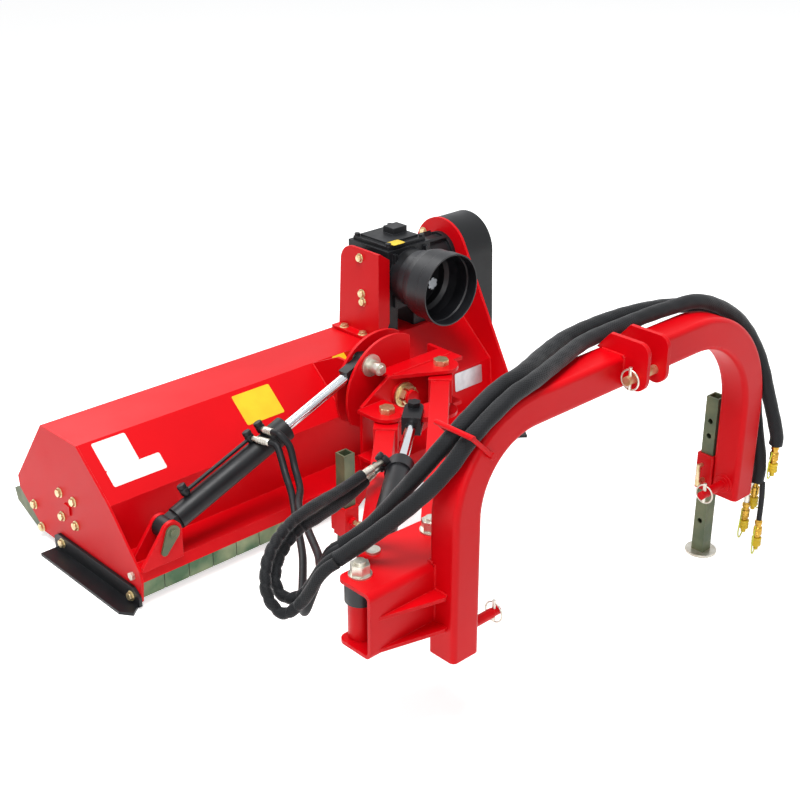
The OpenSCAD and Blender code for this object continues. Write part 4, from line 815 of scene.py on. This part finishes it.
@dataclass
class Fittings:
    """Banjo bolts, crimped ferrules and the pipe on the two cylinders, in millimetres."""

    swing_base: Point = (-550.0, -522.0, 356.0)
    swing_eye: Point = (15.0, -50.0, 356.0)
    swing_ports: tuple[float, float] = (428.0, 448.0)
    swing_seat: float = 33.05
    swing_lift: float = 40.0
    tilt_base: Point = (-597.0, 169.0, 180.0)
    tilt_eye: Point = (42.83, 169.0, 422.0)
    tilt_ports: tuple[float, float] = (342.0, 304.0)
    tilt_seat: float = 29.05
    tilt_lean: float = 18.0
    pipe_start: float = 90.0
    pipe_r: float = 5.0
    pipe_lift: float = 10.0
    crimp: float = 34.0
    hose_gap: float = 1.4
    eye_height: float = 12.0
    groove_start: float = 9.0
    groove_pitch: float = 7.0

    def turned(self, name: str, profile: list[tuple[float, float]], foot: np.ndarray, way: np.ndarray,
               finish: Finish, slot: str, node: str, body: str) -> None:
        """Turns a profile and stands it on a point.

        Args:
            name: the piece's name.
            profile: radius and height along the direction.
            foot: the point, in millimetres.
            way: the direction of its axis.
            finish: the piece's finish.
            slot: its material slot; not used.
            node: the solid that it stands for.
            body: the body that carries it.
        """
        mesh = lathe(name, profile, 24)
        turn = Vector(way).to_track_quat("Z", "Y").to_matrix().to_4x4()
        mesh.transform(Matrix.Translation(Vector(foot) * MM) @ turn)
        carry(new_piece(name, mesh, finish), body, node)

    def banjo(self, name: str, seat: np.ndarray, out: np.ndarray, hose_end: Point | None, node: str,
              body: str) -> None:
        """Makes a banjo bolt on its seat and, where a hose ends there, the crimped ferrule that leads to it.

        Args:
            name: the start of the pieces' names.
            seat: where the bolt stands on the barrel.
            out: the way it stands.
            hose_end: the middle of the hose's end, or None.
            node: the solid that the pieces stand for.
            body: the body that carries them.
        """
        bolt = [(8.6, 0), (9.0, 0.6), (9.0, 4), (11.4, 4.8), (12.0, 6), (12.0, 18), (11.4, 19.2), (9.5, 20),
                (9.5, 22), (11.6, 22.4), (11.6, 29), (10.4, 31.4), (8.0, 32)]
        self.turned(f"{name}_bolt", bolt, seat, out, Coats.BLACK, "black_paint", node, body)
        if hose_end is None:
            return
        mid = seat + out * self.eye_height
        pull = np.array(hose_end, float) - mid
        reach = float(np.linalg.norm(pull))
        start, end = reach - self.crimp, reach - self.hose_gap
        stem = [(6.2, 8.0), (6.8, 9.0), (6.8, start - 5.0), (8.8, start - 4.0), (8.8, start),
                (7.4, start + 1.0), (7.4, start + 3.0), (9.2, start + 4.0)]
        for k in range(3):
            groove = start + self.groove_start + self.groove_pitch * k
            stem += [(9.2, groove - 1.6), (8.5, groove - 0.8), (8.5, groove + 0.8), (9.2, groove + 1.6)]
        stem += [(9.2, end - 1.0), (8.6, end)]
        self.turned(f"{name}_ferrule", stem, mid, pull / reach, Coats.ZINC, "zinc_steel", node, body)

    def build(self, hoses: HoseRuns) -> None:
        """Makes the fittings of both cylinders.

        Args:
            hoses: the hoses whose ends they hold.
        """
        base, run = np.array(self.swing_base), np.array(self.swing_eye) - np.array(self.swing_base)
        run /= np.linalg.norm(run)
        side, up = np.array((-run[1], run[0], 0.0)), np.array((0.0, 0.0, 1.0))
        lift = math.radians(self.swing_lift)
        node, body = "swing_fittings", "side_shift_barrel"
        ways = (side * math.cos(lift) + up * math.sin(lift), side)
        for name, port, way, route in zip(("outer_shift", "inner_shift"), self.swing_ports, ways,
                                          (hoses.swing_1, hoses.swing_2)):
            self.banjo(name, base + run * port + way * self.swing_seat, way, route[-1], node, body)
        base, run = np.array(self.tilt_base), np.array(self.tilt_eye) - np.array(self.tilt_base)
        run /= np.linalg.norm(run)
        lean = math.radians(self.tilt_lean)
        way = np.array((-run[2], 0.0, run[0])) * math.cos(lean)
        way += np.array((0.0, 1.0, 0.0)) * math.sin(lean)
        node, body = "tilt_fittings", "tilt_cylinder_barrel"
        for name, port, end in (("upper_tilt", self.tilt_ports[0], hoses.tilt_2[-1]),
                                ("lower_tilt", self.tilt_ports[1], hoses.tilt_1[-1]),
                                ("pipe_base", self.pipe_start, None)):
            self.banjo(name, base + run * port + way * self.tilt_seat, way, end, node, body)
        above = base + way * (self.tilt_seat + self.pipe_lift)
        line = np.linspace(above + run * self.pipe_start, above + run * self.tilt_ports[1], 24) * MM
        pipe = new_piece("tilt_pipe", swept_tube("tilt_pipe", line, self.pipe_r, 16), Coats.BLACK)
        carry(pipe, body, node)
        log.info("fittings of both cylinders")


@dataclass
class JackFoot:
    """Pale zinc plate under the jack's leg. Sizes are in millimetres."""

    centre: Point = (510.8, -600.2, 0.0)
    radius: float = 39.4
    height: float = 6.5

    def build(self, scatter: Scatter) -> None:
        """Sets the plate over the leg's foot.

        Args:
            scatter: what sets a part on points.
        """
        r, h = self.radius, self.height
        rim = lathe("foot_plate", [(r - 1.4, 0.05), (r, 0.9), (r, h - 1.2), (r - 1.0, h), (r - 14.0, h)], 48)
        piece = scatter.place("jack_foot_plate", rim, [(self.centre, (0.0, 0.0, 1.0))], Coats.ZINC)
        carry(piece, "hitch_frame")
        log.info("jack foot")


@dataclass
class Fasteners:
    """Bolt heads that the head shows, by the face they stand on. Sizes are in millimetres."""

    across: float = 19.0
    height: float = 9.0
    head_l: float = -689.0
    head_r: float = 635.0
    rotor: tuple[float, float] = (466.0, 144.0)
    bracket_x: float = 292.0
    deck_z: float = 354.0
    skid_plate: float = 8.0
    washer: float = 2.2
    corners: int = 24

    def hex_head(self) -> bpy.types.Mesh:
        """Makes a hexagon head with a rounded crown on its washer.

        Returns:
            The mesh, standing on the origin along +Z.
        """
        washer, crown, inner = self.washer, self.height, self.across / 2.0
        r = inner / math.cos(math.radians(30.0))
        made = bmesh.new()
        rings = [level_ring(made, r * share, z, self.corners)
                 for share, z in ((1.22, 0.0), (1.22, washer - 0.5), (1.16, washer))]
        for share, z in ((1.0, washer), (1.0, crown - 2.2), (0.96, crown - 0.9), (0.86, crown)):
            ring = []
            for k in range(self.corners):
                a = 2.0 * math.pi * k / self.corners
                flat = inner / math.cos((a + math.pi / 6) % (math.pi / 3) - math.pi / 6)
                reach = flat if share == 1.0 else min(flat, r * share)
                ring.append(made.verts.new((reach * MM * math.cos(a), reach * MM * math.sin(a), z * MM)))
            rings.append(ring)
        close_rings(made, rings)
        return from_bmesh("hex_head", made)

    def spots(self) -> list[tuple[Point, Point]]:
        """Lists the bolts.

        Returns:
            Each bolt's seat and the way it faces.
        """
        left, right, up = (-1.0, 0.0, 0.0), (1.0, 0.0, 0.0), (0.0, 0.0, 1.0)
        y, z = self.rotor
        out = [((self.head_l, y + dy, z + dz), left) for dy in (-33, 33) for dz in (-34, 34)]
        out += [((self.head_l, py, pz), left) for py, pz in ((643, 86), (615, 30))]
        out += [((self.head_l - self.skid_plate, py, pz), left) for py, pz in ((184, 26), (500, 34))]
        out += [((self.head_r + self.skid_plate, py, 22), right) for py in (190, 500)]
        out += [((self.bracket_x, py, pz), left) for py, pz in ((463, 575), (456, 470), (452, 446))]
        out += [((self.bracket_x - 14, py, self.deck_z), up) for py in (440, 520)]
        out.append(((self.head_r - 8, 552, 558), left))
        return out

    def build(self, scatter: Scatter) -> None:
        """Sets the bolts on the head.

        Args:
            scatter: what sets a part on points.
        """
        piece = scatter.place("hex_bolts", self.hex_head(), self.spots(), Coats.GOLD)
        carry(piece, "head", "head_bolts")
        log.info("bolt heads: %d", len(self.spots()))


@dataclass
class Welds:
    """Weld beads under the paint, by the body that carries them. Paths are in millimetres."""

    bead_r: float = 3.4
    ripple: float = 5.5
    step: float = 1.8

    def paths(self) -> dict[str, list[list[Point]]]:
        """Lists the beads.

        Returns:
            For each body, the paths of its beads.
        """
        round_pin = [(21 * math.cos(a), 21 * math.sin(a)) for a in np.linspace(0, 2 * math.pi, 25)]
        pins = [[(x, y - 660.5, z + 228) for y, z in round_pin] for x in (-417, 488)]
        frame_beads = [
            [(-492, -642, 253), (-492, -642, 402)], [(-492, -678, 263), (-492, -644, 263)],
            [(-492, -678, 345), (-492, -644, 345)],
            [(-492, -636, 402), (-492, -623, 402)], [(-490, -623, 402), (-376, -623, 402)],
            [(-2.5, -698, 658), (-2.5, -698, 722)], [(73.5, -698, 658), (73.5, -698, 722)],
            [(-2.5, -697, 723), (-2.5, -640, 723)], [(73.5, -697, 723), (73.5, -640, 723)],
            [(488, -623, 188), (488, -623, 282)], [(533.6, -623, 188), (533.6, -623, 282)],
            *pins,
        ]
        tilt_x = 112.83
        head_beads = [
            [(tilt_x - 60, 264, 233), (tilt_x - 60, 392, 345)],
            [(tilt_x + 60, 264, 233), (tilt_x + 60, 392, 345)],
            [(292, 388, 346.5), (292, 556, 345)],
            [(627, 560, 344), (627, 394, 346), (627, 264, 233), (627, 252, 105)],
            [(-682, 150.5, 104), (-570, 150.5, 104)], [(-682, 187.5, 103), (-570, 187.5, 103)],
            [(-682, 197.5, 103), (-570, 197.5, 103)],
        ]
        tube = [(tilt_x + 38 * math.cos(a), 144, 335 + 38 * math.sin(a))
                for a in np.linspace(0, 2 * math.pi, 33)]
        carrier_beads = [tube, [(50, 97, 258), (292, 97, 258)], [(80, 97, 398), (290, 97, 398)]]
        return {"hitch_frame": frame_beads, "head": head_beads, "carrier": carrier_beads}

    def build(self) -> None:
        """Lays every bead, one piece for each body."""
        skin = Skin(ripple_mm=self.ripple)
        for body, paths in self.paths().items():
            made = bmesh.new()
            for i, path in enumerate(paths):
                corners = [np.array(p, float) for p in path]
                runs = [np.linspace(a, b, max(3, int(np.linalg.norm(b - a) / self.step)), endpoint=False)
                        for a, b in zip(corners, corners[1:])]
                line = np.concatenate([*runs, [corners[-1]]]) * MM
                bead = swept_tube(f"{body}_bead_{i}", line, self.bead_r, 8, skin)
                made.from_mesh(bead)
                bpy.data.meshes.remove(bead)
            name = f"{body}_welds"
            piece = new_piece(name, from_bmesh(name, made), Coats.RED, 60.0)
            carry(piece, body)
            log.info("weld beads on %s: %d", body, len(paths))


@dataclass
class BlankPlates:
    """Bare plates where the real machine has its labels. Sizes are in millimetres."""

    thick: float = 0.5
    seat: float = 0.02
    corner: float = 5.0
    fold: Point = (0.0, 394.0, 346.0)
    slope: Point = (0.0, -0.7547, -0.6560)
    panel: Point = (0.0, -0.0919, -0.9958)

    def plate(self, name: str, origin: Point, down: Point, size: tuple[float, float], finish: Finish) -> None:
        """Makes one rounded plate on a flat face of the head.

        Args:
            name: the piece's name.
            origin: its upper left corner on the face.
            down: direction along its height; its width runs along X.
            size: its width and height.
            finish: its finish.
        """
        u, v, r = Vector((1.0, 0.0, 0.0)), Vector(down), self.corner
        out = v.cross(u).normalized()
        w, h = size
        rim = []
        for cx, cy, first in ((w - r, r, -90), (w - r, h - r, 0), (r, h - r, 90), (r, r, 180)):
            for k in range(5):
                a = math.radians(first + k * 22.5)
                rim.append(Vector(origin) + u * (cx + r * math.cos(a)) + v * (cy + r * math.sin(a)))
        made = bmesh.new()
        close_rings(made, [[made.verts.new((p + out * lift) * MM) for p in rim]
                           for lift in (self.seat, self.thick)])
        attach(new_piece(name, from_bmesh(name, made), finish), "head")
        log.info("blank plate %s", name)

    def on_slope(self, x: float, along: float) -> Point:
        """Gives a point of the hood's slope, from its X and its distance below the fold."""
        return (x, self.fold[1] + self.slope[1] * along, self.fold[2] + self.slope[2] * along)

    def build(self) -> None:
        """Makes every plate on the hood."""
        for name, origin, down, size, finish in (
                ("white_blank", self.on_slope(-650, 8), self.slope, (95, 79.5), Coats.VINYL),
                ("white_strip_blank", self.on_slope(-650, 87), self.slope, (152, 45), Coats.VINYL),
                ("yellow_blank", self.on_slope(-232, 14), self.slope, (122, 90), Coats.SIGNAL),
                ("small_yellow_blank", self.on_slope(120, 2), self.slope, (66, 26), Coats.SIGNAL),
                ("aluminium_blank", (476, 262.4, 226), self.panel, (112, 56), Coats.PLATE),
                ("cover_blank", (356, 424, 614), (0.0, -1.0, 0.0), (44, 34), Coats.SIGNAL)):
            self.plate(name, origin, down, size, finish)


class MowerBody:
    """The solids that stay as they are, each with its finish."""

    OWN = {
        "rotor_bearings": Coats.RED, "odd_flaps": Coats.FLAP, "even_flaps": Coats.FLAP,
        "jack_pin": Coats.GOLD, "arm_pivot_bolts": Coats.GOLD, "tilt_nut": Coats.GOLD,
        "top_link_pin": Coats.GOLD, "stand_screw": Coats.GOLD,
    }

    def dress(self) -> None:
        """Gives every solid its own finish, or that of its slot."""
        slots = {s["node"]: s["material_slot"] for s in frame["record"]["subparts"]}
        for name, solid in frame["nodes"].items():
            made = self.OWN.get(name, Coats.BY_SLOT[slots[name]]).material()
            if solid.material_slots:
                for held in solid.material_slots:
                    held.material = made
            else:
                solid.data.materials.append(made)
        log.info("dressed %d solids", len(slots))


def main() -> None:
    """Builds the scene in order."""
    logging.basicConfig(level=logging.INFO, format="%(name)s: %(message)s")
    studio = Studio()
    studio.camera()
    scatter = Scatter()
    hoses = HoseRuns()
    hoses.along_arch(scatter)
    hoses.to_side_shift()
    hoses.to_tilt()
    hoses.cap_lines()
    Fittings().build(hoses)
    JackFoot().build(scatter)
    MowerBody().dress()
    Fasteners().build(scatter)
    Welds().build()
    BlankPlates().build()
    studio.light()
    bpy.context.view_layer.update()


if __name__ == "__main__":
    main()
